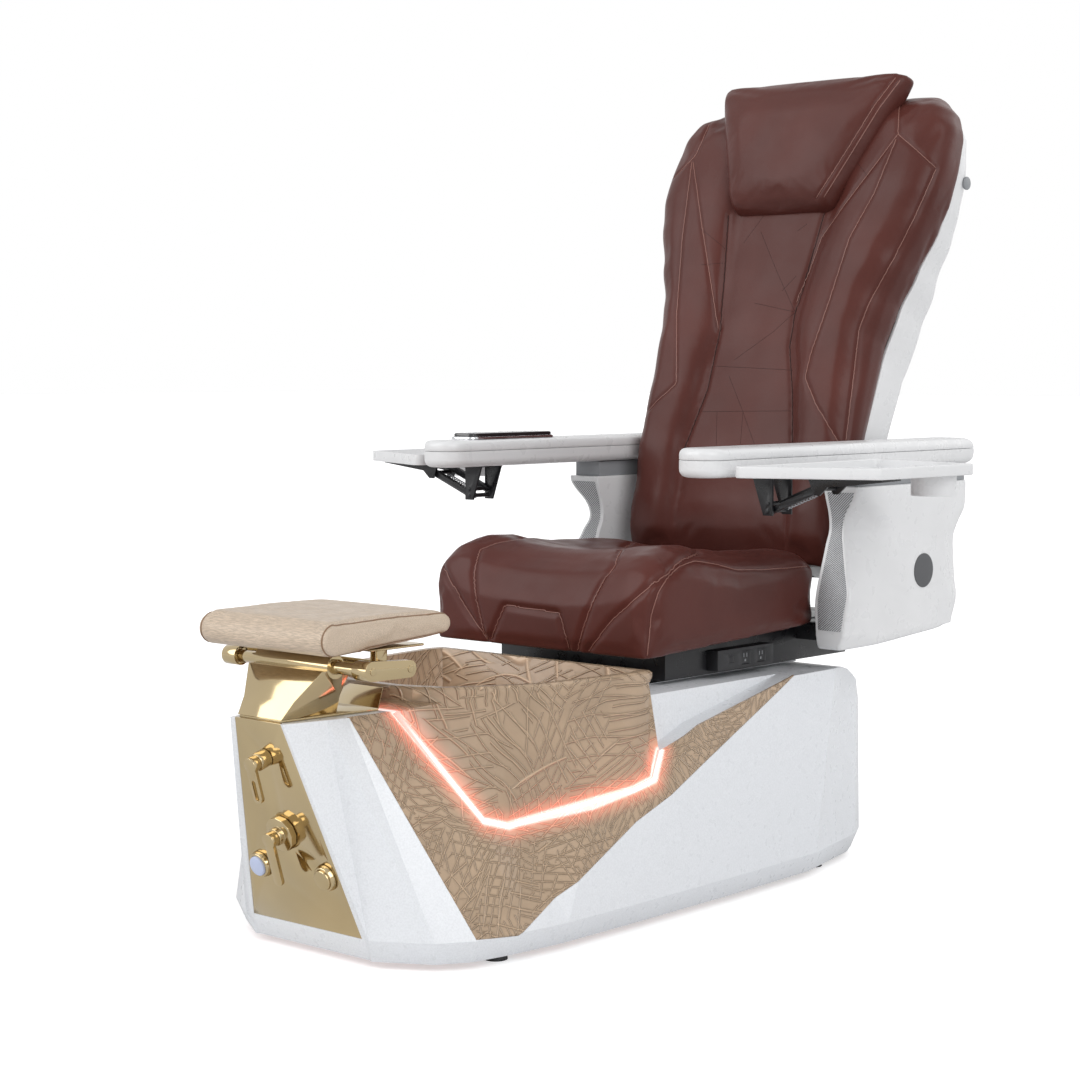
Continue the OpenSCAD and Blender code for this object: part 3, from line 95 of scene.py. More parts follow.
class Shader:
    """A node material under construction, in object coordinates."""

    def __init__(self, name, color, roughness, metallic=0.0, coat=0.0, specular=0.5):
        self.mat = bpy.data.materials.new(name)
        self.mat.use_nodes = True
        self.tree = self.mat.node_tree
        self.bsdf = self.tree.nodes["Principled BSDF"]
        self.color = color
        self.set("Base Color", (*color, 1.0))
        self.set("Roughness", roughness)
        self.set("Metallic", metallic)
        self.set("Specular IOR Level", specular)
        self.set("Coat Weight", coat)
        self.set("Coat Roughness", COAT_ROUGHNESS)
        self.coords = self.node("ShaderNodeTexCoord").outputs["Object"]
        self.normal = None

    def set(self, name, value):
        socket = self.bsdf.inputs[name]
        if isinstance(value, bpy.types.NodeSocket):
            self.tree.links.new(value, socket)
        else:
            socket.default_value = value

    def node(self, kind, options=None, **inputs):
        made = self.tree.nodes.new(kind)
        for key, value in (options or {}).items():
            setattr(made, key, value)
        for key, value in inputs.items():
            numbered = key[0] == "i" and key[1:].isdigit()
            socket = made.inputs[int(key[1:]) if numbered else key.replace("_", " ")]
            if isinstance(value, bpy.types.NodeSocket):
                self.tree.links.new(value, socket)
            else:
                socket.default_value = value
        return made

    def noise(self, scale, detail=3.0, roughness=0.5, distortion=0.0, vector=None):
        return self.node("ShaderNodeTexNoise", Vector=vector or self.coords, Scale=scale, Detail=detail,
                         Roughness=roughness, Distortion=distortion).outputs["Fac"]

    def cells(self, scale, feature="F1", vector=None):
        return self.node("ShaderNodeTexVoronoi", {"feature": feature}, Vector=vector or self.coords,
                         Scale=scale).outputs["Distance"]

    def turned(self, angles, size=(1, 1, 1)):
        return self.node("ShaderNodeMapping", Vector=self.coords, Scale=size,
                         Rotation=[math.radians(a) for a in angles]).outputs["Vector"]

    def spread(self, value, low, high, to_low=0.0, to_high=1.0):
        return self.node("ShaderNodeMapRange", {"interpolation_type": "SMOOTHSTEP"}, Value=value,
                         From_Min=low, From_Max=high, To_Min=to_low, To_Max=to_high).outputs["Result"]

    def math(self, operation, a, b=0.0):
        return self.node("ShaderNodeMath", {"operation": operation}, i0=a, i1=b).outputs["Value"]

    def blend(self, share, a, b):
        mix = self.node("ShaderNodeMix", {"data_type": "RGBA"})
        for index, value in ((0, share), (6, a), (7, b)):
            if isinstance(value, bpy.types.NodeSocket):
                self.tree.links.new(value, mix.inputs[index])
            else:
                mix.inputs[index].default_value = value if index == 0 else (*value, 1.0)
        return mix.outputs[2]

    def bump(self, height, strength, distance):
        inputs = {"Height": height, "Strength": strength, "Distance": distance}
        if self.normal:
            inputs["Normal"] = self.normal
        self.normal = self.node("ShaderNodeBump", **inputs).outputs["Normal"]
        self.set("Normal", self.normal)

    def halo(self, line, reach):
        """One at a line given by places along Y and Z, falling to zero at reach from it."""
        flat = self.vector("MULTIPLY", self.coords, (0.0, 1.0, 1.0))
        least = None
        for a, b in zip(line, line[1:]):
            run = Vector((0.0, b[0] - a[0], b[1] - a[1]))
            away = self.vector("SUBTRACT", flat, (0.0, *a))
            share = self.vector("DOT_PRODUCT", away, tuple(run / run.length_squared), output="Value")
            share = self.node("ShaderNodeClamp", Value=share).outputs["Result"]
            foot = self.node("ShaderNodeVectorMath", {"operation": "SCALE"}, i0=tuple(run), Scale=share)
            gap = self.vector("DISTANCE", away, foot.outputs["Vector"], output="Value")
            least = gap if least is None else self.math("MINIMUM", least, gap)
        near = self.spread(least, LIGHT_HALF, reach, 1.0, 0.0)
        return self.math("MULTIPLY", near, near)

    def vector(self, operation, a, b, output="Vector"):
        return self.node("ShaderNodeVectorMath", {"operation": operation}, i0=a, i1=b).outputs[output]

    def edges(self, radius):
        """Rounds the shading of hard edges."""
        self.normal = self.node("ShaderNodeBevel", {"samples": 4}, Radius=radius).outputs["Normal"]
        self.set("Normal", self.normal)


def tone(color, factor):
    return tuple(min(1.0, c * factor) for c in color)


def leather(name, color, grain=900.0, crease=0.3, rough=0.36, specular=0.32):
    s = Shader(name, color, rough, specular=specular)
    broad = s.noise(4.0, 3.0)
    cell = s.cells(grain)
    base = s.blend(s.spread(broad, 0.35, 0.7), tone(color, 0.88), tone(color, 1.12))
    s.set("Base Color", s.blend(s.spread(cell, 0.05, 0.4), tone(color, 0.8), base))
    s.set("Roughness", s.spread(s.noise(14.0, 4.0), 0.3, 0.7, rough - 0.05, rough + 0.07))
    s.bump(s.noise(18.0, 3.0, 0.5, 0.8), crease, 0.0016)
    s.bump(cell, 0.16, 0.0003)
    s.bump(s.noise(grain * 1.6, 2.0), 0.06, 0.0002)
    return s.mat


def crackle(name, color, layers, width, curve):
    """Gloss acrylic with raised straws that cross at all angles, in a layout of its own.

    Each layer gives every patch its own direction, and lays straws of the given density along it.
    """
    s = Shader(name, color, 0.3, coat=0.25)
    s.mat.cycles.emission_sampling = "NONE"
    wander = s.noise(7.0, 2.0)
    bend = s.node("ShaderNodeTexNoise", Vector=s.coords, Scale=5.0, Detail=1.0).outputs["Color"]
    bend = s.node("ShaderNodeVectorMath", {"operation": "SCALE"}, i0=bend, Scale=curve).outputs["Vector"]
    bent = s.vector("ADD", s.coords, bend)
    ridge = painted_foot_shade = None
    for count, (patch, density) in enumerate(layers):
        turned = s.turned((37 * count + 12, 71 * count, 23 * count + 5))
        cell = s.node("ShaderNodeTexVoronoi", Vector=turned, Scale=patch)
        way = s.vector("SUBTRACT", cell.outputs["Color"], (0.5, 0.5, 0.5))
        way = s.vector("NORMALIZE", s.vector("MULTIPLY", way, (0.35, 1.0, 1.0)), (0.0, 0.0, 0.0))
        place_on = s.vector("DOT_PRODUCT", bent, way, output="Value")
        gap = s.node("ShaderNodeTexVoronoi", {"voronoi_dimensions": "1D", "feature": "DISTANCE_TO_EDGE"},
                     W=place_on, Scale=density).outputs["Distance"]
        line = s.spread(gap, 0.0, width * density, 1.0, 0.0)
        foot = s.spread(gap, 0.6 * width * density, 2.6 * width * density, 1.0, 0.0)
        ridge = line if ridge is None else s.math("MAXIMUM", ridge, line)
        painted_foot_shade = foot if painted_foot_shade is None else s.math("MAXIMUM", painted_foot_shade, foot)
    base = s.blend(s.spread(wander, 0.3, 0.7), tone(color, 0.88), tone(color, 1.1))
    # Painted shade darkens the foot of each straw, and a painted highlight lightens the straw itself.
    base = s.blend(s.math("MULTIPLY", painted_foot_shade, 0.45), base, tone(color, 0.66))
    s.set("Base Color", s.blend(s.math("MULTIPLY", ridge, 0.75), base, tone(color, 1.6)))
    s.set("Roughness", s.spread(wander, 0.2, 0.8, 0.26, 0.4))
    # Painted glow: the acrylic near the line of light gives off the tube's red light as emission, whitish
    # close to it and stronger on the straws.
    far, near = s.halo(LIGHT_LINE, FAR_PAINTED_GLOW), s.halo(LIGHT_LINE, NEAR_PAINTED_GLOW)
    s.set("Emission Color", s.blend(near, (1.0, 0.20, 0.13), (1.0, 0.74, 0.73)))
    painted_glow = s.math("MULTIPLY", far, s.math("ADD", s.math("MULTIPLY", ridge, 0.3), 0.42))
    s.set("Emission Strength", s.math("ADD", painted_glow, s.math("MULTIPLY", near, 0.55)))
    s.bump(s.noise(38.0, 2.0), 0.3, 0.002)
    s.bump(ridge, 1.0, 0.0030)
    s.bump(s.noise(420.0, 3.0), 0.1, 0.0003)
    return s.mat


def pearl(name, color):
    """White acrylic with a fine grain under a clear coat."""
    s = Shader(name, color, 0.32, coat=0.2)
    grain = s.noise(330.0, 3.0, 0.5)
    s.set("Base Color", s.blend(s.spread(grain, 0.35, 0.65), tone(color, 0.965), tone(color, 1.035)))
    s.set("Roughness", s.spread(s.noise(60.0, 4.0), 0.3, 0.7, 0.26, 0.4))
    s.bump(grain, 0.16, 0.0009)
    return s.mat


def plastic(name, color, rough, grain=700.0, depth=0.06, coat=0.0):
    s = Shader(name, color, rough, coat=coat)
    s.set("Base Color", s.blend(s.spread(s.noise(9.0, 3.0), 0.3, 0.7), tone(color, 0.98), tone(color, 1.02)))
    s.set("Roughness", s.spread(s.noise(35.0, 4.0), 0.3, 0.7, rough - 0.05, rough + 0.07))
    s.bump(s.noise(grain, 3.0), depth, 0.0003)
    return s.mat


def metal(name, color, rough, brush=None, smear=0.04):
    s = Shader(name, color, rough, metallic=1.0)
    s.edges(0.0008)
    s.set("Base Color", s.blend(s.spread(s.noise(6.0, 3.0), 0.3, 0.7), tone(color, 0.93), tone(color, 1.04)))
    s.set("Roughness", s.spread(s.noise(22.0, 5.0), 0.3, 0.75, rough, rough + smear))
    if brush:
        s.bump(s.noise(brush, 2.0, vector=s.turned((0, 0, 0), (0.05, 1, 1))), 0.12, 0.0003)
    else:
        s.bump(s.noise(3.5, 2.0), 0.03, 0.004)
    return s.mat


def lined(name, color):
    """Pale leathercloth with fine broken lines across it."""
    s = Shader(name, color, 0.42, coat=0.05, specular=0.4)
    thread = s.noise(1.0, 4.0, 0.6, 0.0, s.turned((0, 0, 0), (60.0, 900.0, 900.0)))
    s.set("Base Color", s.blend(s.spread(thread, 0.4, 0.62), tone(color, 0.8), tone(color, 1.14)))
    s.set("Roughness", s.spread(s.noise(30.0, 3.0), 0.3, 0.7, 0.36, 0.5))
    s.bump(thread, 0.4, 0.0007)
    s.bump(s.noise(16.0, 3.0, 0.5, 0.8), 0.2, 0.0012)
    return s.mat


def striped(name):
    """Grey insert with fine slanting ribs."""
    s = Shader(name, (0.4, 0.41, 0.43), 0.45)
    wave = s.node("ShaderNodeTexWave", {"wave_type": "BANDS", "bands_direction": "Z"},
                  Vector=s.turned((0, 38, 0)), Scale=95.0, Distortion=0.0).outputs["Fac"]
    rib = s.spread(wave, 0.35, 0.6)
    s.set("Base Color", s.blend(rib, (0.12, 0.125, 0.13), (0.62, 0.63, 0.65)))
    s.set("Roughness", s.spread(s.noise(50.0), 0.3, 0.7, 0.35, 0.5))
    s.bump(rib, 0.6, 0.001)
    return s.mat


def glowing(name):
    """A light tube, nearly white where it faces out and red along its edges."""
    s = Shader(name, (1.0, 0.7, 0.7), 0.4)
    facing = s.node("ShaderNodeTexCoord").outputs["Normal"]
    side = s.node("ShaderNodeSeparateXYZ", Vector=facing).outputs["X"]
    core = s.spread(s.math("ABSOLUTE", side), 0.35, 0.8)
    s.set("Emission Color", s.blend(core, (1.0, 0.09, 0.06), (1.0, 0.86, 0.87)))
    s.set("Emission Strength", s.spread(core, 0.0, 1.0, 2.4, 1.5))
    return s.mat


CRACKLE_TONE = (0.445, 0.32, 0.212)
BASIN_LAYERS = ((6.0, 40.0), (8.0, 30.0), (10.0, 52.0))
PANEL_LAYERS = ((9.0, 60.0), (12.0, 46.0), (15.0, 70.0))
MATERIALS = {
    "pearl": pearl("pearl", (0.74, 0.76, 0.79)),
    "white": plastic("white", (0.735, 0.74, 0.75), 0.3, coat=0.1),
    "gold": metal("gold", (0.56, 0.445, 0.262), 0.07),
    "basin": crackle("basin", CRACKLE_TONE, BASIN_LAYERS, 0.0022, 0.045),
    "crackle": crackle("crackle", CRACKLE_TONE, PANEL_LAYERS, 0.0019, 0.006),
    "light": glowing("light"),
    "chrome": metal("chrome", (0.66, 0.67, 0.69), 0.08),
    "steel": metal("steel", (0.42, 0.43, 0.45), 0.28, brush=900.0),
    "black_metal": plastic("black_metal", (0.010, 0.010, 0.012), 0.3, 500.0, 0.1),
    "black": plastic("black", (0.012, 0.012, 0.014), 0.42, 900.0, 0.15),
    "grey": plastic("grey", (0.26, 0.27, 0.285), 0.42),
    "badge": plastic("badge", (0.075, 0.077, 0.083), 0.36, 1200.0, 0.1),
    "blue_button": plastic("blue_button", (0.50, 0.57, 0.78), 0.2, coat=0.4),
    "leather": leather("leather", (0.088, 0.0250, 0.0195), rough=0.33, specular=0.18),
    # Piping a lighter brown than the leather: the real piping, with a painted highlight along the seams.
    "piping": leather("piping", (0.24, 0.105, 0.082), 1500.0, 0.1, 0.34, 0.5),
    # Near-black brown for lines of painted shade in creases and grooves.
    "painted_seam_shade": leather("painted_seam_shade", (0.03, 0.010, 0.008), 1500.0, 0.1, 0.6, 0.2),
    "tan_leather": lined("tan_leather", (0.56, 0.45, 0.345)),
    "tan_piping": leather("tan_piping", (0.27, 0.17, 0.105), 1500.0, 0.1, 0.4),
    "stripe": striped("stripe"),
    "glass": plastic("glass", (0.01, 0.01, 0.012), 0.08, 300.0, 0.02, 0.6),
}


# ---- mesh helpers ----

def mesh_object(name, points, faces):
    mesh = bpy.data.meshes.new(name)
    mesh.from_pydata([tuple(p) for p in points], [], faces)
    mesh.update()
    obj = bpy.data.objects.new(name, mesh)
    scene.collection.objects.link(obj)
    return obj


def apply_modifiers(obj):
    evaluated = obj.evaluated_get(bpy.context.evaluated_depsgraph_get())
    old = obj.data
    obj.data = bpy.data.meshes.new_from_object(evaluated)
    obj.modifiers.clear()
    bpy.data.meshes.remove(old)


def smooth(obj, angle=None):
    for polygon in obj.data.polygons:
        polygon.use_smooth = True
    if angle is not None:
        obj.data.set_sharp_from_angle(angle=math.radians(angle))


def paint(obj, material):
    obj.data.materials.clear()
    obj.data.materials.append(MATERIALS[material])


def place(obj, body, material, replaces=()):
    """Gives a finished piece its material and its body."""
    paint(obj, material)
    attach(obj, body)
    if replaces:
        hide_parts(*replaces)
    return obj


def refine(node, material, width=0.0012, angle=30.0, segments=2, sharp=32.0):
    """A CAD node's own form with rounded edges and smooth curves, in its place."""
    work = bmesh.new()
    work.from_mesh(frame["nodes"][node].data)
    bmesh.ops.remove_doubles(work, verts=work.verts, dist=2e-6)
    bmesh.ops.dissolve_limit(work, angle_limit=math.radians(0.6), verts=work.verts, edges=work.edges)
    mesh = bpy.data.meshes.new(node + "_skin")
    work.to_mesh(mesh)
    work.free()
    obj = bpy.data.objects.new(node + "_skin", mesh)
    scene.collection.objects.link(obj)
    if width:
        bevel = obj.modifiers.new("bevel", "BEVEL")
        bevel.width = width
        bevel.segments = segments
        bevel.limit_method = "ANGLE"
        bevel.angle_limit = math.radians(angle)
        bevel.miter_outer = "MITER_ARC"
        apply_modifiers(obj)
    smooth(obj, sharp)
    return place(obj, BODY_OF[node], material, [node])


def blend_path(values, t):
    """Catmull-Rom value at t, in steps of the list."""
    last = len(values) - 1
    i = min(int(t), last - 1)
    u = t - i
    p = [values[max(0, min(last, i + k))] for k in (-1, 0, 1, 2)]
    return 0.5 * (2 * p[1] + (p[2] - p[0]) * u + (2 * p[0] - 5 * p[1] + 4 * p[2] - p[3]) * u * u
                  + (3 * p[1] - p[0] - 3 * p[2] + p[3]) * u * u * u)


def along(table, t):
    """Smooth monotone value from (place, value) pairs."""
    if t <= table[0][0]:
        return table[0][1]
    for (a, va), (b, vb) in zip(table, table[1:]):
        if t <= b:
            u = (t - a) / (b - a)
            return va + (vb - va) * (0.35 * u + 0.65 * u * u * (3 - 2 * u))
    return table[-1][1]


def round_corners(points, radii, steps=5):
    """Closed 2-D outline with each corner rounded, with the same count of points for any size."""
    out = []
    n = len(points)
    for i in range(n):
        p = Vector(points[i])
        a, b = Vector(points[i - 1]) - p, Vector(points[(i + 1) % n]) - p
        reach = min(radii[i], a.length * 0.45, b.length * 0.45)
        start, end = p + a.normalized() * reach, p + b.normalized() * reach
        for k in range(steps + 1):
            t = k / steps
            out.append(start.lerp(p, t).lerp(p.lerp(end, t), t))
    return out


def face_outward(obj):
    work = bmesh.new()
    work.from_mesh(obj.data)
    bmesh.ops.recalc_face_normals(work, faces=work.faces)
    work.to_mesh(obj.data)
    work.free()


def loft(name, rings):
    """Closed mesh through rings of equal count."""
    n = len(rings[0])
    points = [p for ring in rings for p in ring]
    faces = []
    for k in range(len(rings) - 1):
        for i in range(n):
            j = (i + 1) % n
            faces.append((k * n + i, k * n + j, (k + 1) * n + j, (k + 1) * n + i))
    faces.append(tuple(range(n - 1, -1, -1)))
    last = (len(rings) - 1) * n
    faces.append(tuple(last + i for i in range(n)))
    obj = mesh_object(name, points, faces)
    face_outward(obj)
    return obj


def tubes(name, lines, radius, sides=6):
    """Round piping along several lines, in one mesh."""
    points, faces = [], []
    for line in lines:
        if len(line) < 2:
            continue
        base = len(points)
        for i, p in enumerate(line):
            way = (line[min(i + 1, len(line) - 1)] - line[max(i - 1, 0)]).normalized()
            a = way.cross(Vector((0.31, 0.52, 0.79))).normalized()
            b = way.cross(a)
            for k in range(sides):
                t = 2 * math.pi * k / sides
                points.append(p + radius * (a * math.cos(t) + b * math.sin(t)))
        for i in range(len(line) - 1):
            for k in range(sides):
                j = (k + 1) % sides
                faces.append((base + i * sides + k, base + i * sides + j,
                              base + (i + 1) * sides + j, base + (i + 1) * sides + k))
        faces.append(tuple(base + k for k in range(sides - 1, -1, -1)))
        faces.append(tuple(base + (len(line) - 1) * sides + k for k in range(sides)))
    obj = mesh_object(name, points, faces)
    smooth(obj)
    return obj


def cut(obj, tool):
    """Takes the tool's form out of a piece."""
    boolean = obj.modifiers.new("cut", "BOOLEAN")
    boolean.operation = "DIFFERENCE"
    boolean.solver = "EXACT"
    boolean.object = tool
    apply_modifiers(obj)
    bpy.data.objects.remove(tool)


def corners(low, high):
    """The eight corners of a box, in the order that CUBE_FACES goes by."""
    return [(x, y, z) for x in (low[0], high[0]) for y in (low[1], high[1]) for z in (low[2], high[2])]


def circle_x(x, y, z, radius, sides):
    """Points of a circle whose axis runs along X."""
    turns = [2 * math.pi * k / sides for k in range(sides)]
    return [Vector((x, y + radius * math.cos(t), z + radius * math.sin(t))) for t in turns]


def disc_x(name, center, radius, thick, dome, sides=48):
    """A disc whose axis runs along X, with a rounded rim and a slightly domed face."""
    x, y, z = center
    rim = ((1.0, 0.0), (1.0, 0.7), (0.985, 0.93), (0.95, 1.0), (0.5, 1.0 + dome))
    return loft(name, [circle_x(x + h * thick, y, z, radius * r, sides) for r, h in rim])


# ---- soft pieces ----

def remesh(obj, voxel):
    modifier = obj.modifiers.new("remesh", "REMESH")
    modifier.mode = "VOXEL"
    modifier.voxel_size = voxel
    apply_modifiers(obj)


def puff(obj, cap, hold, pressure=4.0, frames=16):
    """Blows a closed skin up as cloth, and keeps every point within cap of where it was."""
    rest = [v.co.copy() for v in obj.data.vertices]
    held = obj.vertex_groups.new(name="held")
    for index, p in enumerate(rest):
        if hold(p):
            held.add([index], 1.0, "REPLACE")
    cloth = obj.modifiers.new("cloth", "CLOTH")
    settings = cloth.settings
    settings.quality = 4
    settings.mass = 0.35
    settings.tension_stiffness = 12.0
    settings.compression_stiffness = 12.0
    settings.shear_stiffness = 6.0
    settings.bending_stiffness = 0.4
    settings.use_pressure = True
    settings.uniform_pressure_force = pressure
    settings.effector_weights.gravity = 0.0
    settings.vertex_group_mass = "held"
    cloth.collision_settings.use_collision = False
    cloth.point_cache.frame_start = 1
    cloth.point_cache.frame_end = frames
    for number in range(1, frames + 1):
        scene.frame_set(number)
    moved = obj.evaluated_get(bpy.context.evaluated_depsgraph_get()).data
    points = [v.co.copy() for v in moved.vertices]
    obj.modifiers.clear()
    obj.vertex_groups.clear()
    for vertex, a, b in zip(obj.data.vertices, rest, points):
        step = b - a
        if step.length > cap:
            step = step.normalized() * cap
        vertex.co = a + step
    scene.frame_set(1)
    obj.data.update()


def relax(obj, rounds, factor=0.5):
    work = bmesh.new()
    work.from_mesh(obj.data)
    for _ in range(rounds):
        bmesh.ops.smooth_vert(work, verts=work.verts, factor=factor,
                              use_axis_x=True, use_axis_y=True, use_axis_z=True)
    work.to_mesh(obj.data)
    work.free()


def subdivide(obj):
    modifier = obj.modifiers.new("subdivision", "SUBSURF")
    modifier.levels = modifier.render_levels = 1
    apply_modifiers(obj)


def surface_of(obj):
    return BVHTree.FromPolygons([v.co for v in obj.data.vertices], [p.vertices[:] for p in obj.data.polygons])


def trace(tree, pixels, step=2.0):
    """A line on a surface, given by pixels of the photograph."""
    line = []
    for a, b in zip(pixels, pixels[1:]):
        count = max(1, int(math.dist(a, b) / step))
        for k in range(count + (b is pixels[-1])):
            t = k / count
            hit = tree.ray_cast(EYE, pixel_way(a[0] + (b[0] - a[0]) * t, a[1] + (b[1] - a[1]) * t))[0]
            if hit is not None:
                line.append(hit)
    return line


def even(line, step=0.004):
    """The same line with points at even steps, lightly smoothed."""
    if len(line) < 2:
        return line
    out, carry = [line[0]], 0.0
    for a, b in zip(line, line[1:]):
        length = (b - a).length
        if length > 0.05:
            continue
        at = step - carry
        while at < length:
            out.append(a.lerp(b, at / length))
            at += step
        carry = (carry + length) % step if length else carry
    for _ in range(2):
        out = [out[0]] + [(p + q + r) / 3 for p, q, r in zip(out, out[1:], out[2:])] + [out[-1]]
    return out


def press(obj, lines, depth, width):
    """Draws the skin in along seams."""
    places = [p for line in lines for p in line]
    if not places:
        return
    tree = KDTree(len(places))
    for index, p in enumerate(places):
        tree.insert(p, index)
    tree.balance()
    normals = [v.normal.copy() for v in obj.data.vertices]
    for vertex, normal in zip(obj.data.vertices, normals):
        distance = tree.find(vertex.co)[2]
        if distance < 3 * width:
            vertex.co -= normal * depth * math.exp(-((distance / width) ** 2))
    obj.data.update()


def settle(tree, line, lift):
    """The line laid on a surface, raised by lift."""
    out = []
    for p in line:
        hit, normal, _, _ = tree.find_nearest(p)
        if hit is not None:
            out.append(hit + normal * lift)
    return out


def crop(corner, scale, points):
    """Photograph pixels of points read in an enlarged crop of it."""
    return [(corner[0] + x / scale, corner[1] + y / scale) for x, y in points]


def seams_on(tree, corner, scale, lines):
    """Lines of an enlarged crop, laid on a surface in even steps."""
    return [even(trace(tree, crop(corner, scale, line))) for line in lines]


def thread(name, tree, lines, lift, radius, body, slot, material):
    """Tubes along lines of a surface: piping, stitch lines, and lines of painted shade."""
    place(tubes(name, [settle(tree, line, lift) for line in lines], radius), body, material)


PIPING, PIPING_LIFT = 0.0010, 0.0002

# ---- seat cushion ----

SEAT_FRONT, SEAT_DEPTH, SEAT_BASE, SEAT_RISE = -0.153, 0.507, 0.454, 0.0446
SEAT_HALF = 0.261
SEAT_HEIGHT = 0.186


def seat_base(y):
    return SEAT_BASE + (y - SEAT_FRONT) * SEAT_RISE


CREST = [(0, 0.62), (0.012, 0.76), (0.04, 0.87), (0.1, 0.96), (0.19, 1), (0.29, 0.965), (0.4, 0.89),
         (0.55, 0.83), (0.75, 0.79), (0.93, 0.75), (0.985, 0.68), (1, 0.6)]
WIDTH = [(0, 0.97), (0.012, 0.985), (0.04, 0.995), (0.1, 1), (0.9, 1), (0.985, 0.97), (1, 0.95)]
CROWN = [(0, 0.895), (0.2, 0.9), (0.45, 0.925), (0.62, 0.965), (0.8, 1), (0.9, 0.975), (0.96, 0.92),
         (1, 0.84)]


def seat_cushion():
    rings = []
    for k in range(61):
        s = k / 60
        y = SEAT_FRONT + s * SEAT_DEPTH
        base, w, h = seat_base(y), along(WIDTH, s) * SEAT_HALF, along(CREST, s) * SEAT_HEIGHT
        side = [(w * 0.97, 0.0), (w * 0.985, 0.03), (w * 0.992, 0.12), (w * 0.994, 0.3),
                (w * 0.998, 0.5), (w, 0.7)]
        top = [(w * u, along(CROWN, u)) for u in [1 - i / 20 for i in range(20)]] + [(0.0, along(CROWN, 0))]
        half = side + top
        ring = half + [(-x, z) for x, z in reversed(half[:-1])]
        rings.append([Vector((x, y, base + z * h)) for x, z in ring])
    obj = loft("seat_cushion_skin", rings)
    remesh(obj, 0.0055)
    relax(obj, 1)
    puff(obj, 0.005, lambda p: p.z < seat_base(p.y) + 0.012, 2.5)
    relax(obj, 1)
    subdivide(obj)
    tree = surface_of(obj)
    view = (420, 500), 3.4087
    seams = [
        [(60, 200), (100, 275), (150, 365), (226, 478)],
        [(345, 126), (260, 140), (203, 163), (180, 240), (185, 330), (213, 452), (228, 480)],
        [(530, 528), (550, 440), (585, 340), (625, 265), (660, 222), (668, 190), (690, 160), (740, 132)],
        [(562, 528), (640, 420), (720, 345), (790, 285), (850, 256), (868, 232), (905, 196), (950, 178)],
        [(240, 472), (258, 418), (285, 358), (470, 386), (495, 478), (515, 540)],
    ]
    edge = [[(776, 532), (790, 390), (815, 312), (850, 256), (885, 219), (940, 205), (1010, 216), (1080, 236),
             (1180, 236), (1300, 226), (1352, 222)]]
    lines, rim = seams_on(tree, *view, seams), seams_on(tree, *view, edge)
    mirrored = [[Vector((-p.x, p.y, p.z)) for p in line] for line in rim]
    press(obj, lines, 0.005, 0.007)
    press(obj, rim + mirrored, 0.0025, 0.005)
    smooth(obj)
    place(obj, "seat", "leather", ["seat_cushion"])
    # The piping's lighter brown is a painted highlight along the seams.
    thread("seat_piping", surface_of(obj), lines + rim + mirrored, PIPING_LIFT, PIPING,
           "seat", "brown_leather", "piping")


# ---- back cushion and pillow ----

LEAN = math.radians(21.2)
HINGE = Vector((0.0, 0.444, 0.5))
BACK_START, BACK_LENGTH = 0.060, 1.052
WAIST = 0.253
BACK_REAR = 0.041
BACK_VIEW = (600, 60), 3.94
BACK_AXIS = Vector((0.0, math.cos(LEAN), -math.sin(LEAN)))


def back_point(x, y, z):
    """A place given across, behind and up the leaning back, from its hinge."""
    return Vector((x, HINGE.y + y * math.cos(LEAN) + z * math.sin(LEAN),
                   HINGE.z - y * math.sin(LEAN) + z * math.cos(LEAN)))


# Up the back, from its foot to its head: half width, depth of the front, and half width of the
# channel as a share; then across the back, from the middle out: how far the front draws in
HALF_WIDTH = [(0, 0.98 * WAIST), (0.02, WAIST), (0.12, 0.256), (0.455, 0.255), (0.53, 0.266),
              (0.61, 0.290), (0.7, 0.319), (0.76, 0.332), (0.83, 0.335), (0.9, 0.330), (0.94, 0.315),
              (0.975, 0.282), (0.995, 0.256)]
FRONT = [(0, 0.092), (0.12, 0.114), (0.23, 0.134), (0.345, 0.146), (0.455, 0.158), (0.61, 0.162),
         (0.76, 0.158), (0.9, 0.142), (0.975, 0.124), (1, 0.112)]
CHANNEL = [(0, 0.56), (0.227, 0.54), (0.35, 0.46), (0.477, 0.37), (0.726, 0.37), (1, 0.36)]
PROFILE = [(0, 0.52), (0.18, 0.53), (0.35, 0.58), (0.40, 0.66), (0.43, 0.52), (0.48, 0.2), (0.56, 0.05),
           (0.66, 0.0), (0.84, 0.03), (0.92, 0.16), (0.96, 0.42), (0.985, 0.75), (1, 1.1)]
PROFILE_EDGE, PROFILE_REST, PROFILE_DEPTH = 0.41, 0.59, 0.042


def back_front(share, u):
    """Place of the back cushion's front, negative ahead of the hinge line."""
    c = along(CHANNEL, share)
    v = PROFILE_EDGE * u / c if u < c else PROFILE_EDGE + (u - c) / (1 - c) * PROFILE_REST
    return -along(FRONT, share) + PROFILE_DEPTH * along(PROFILE, v)


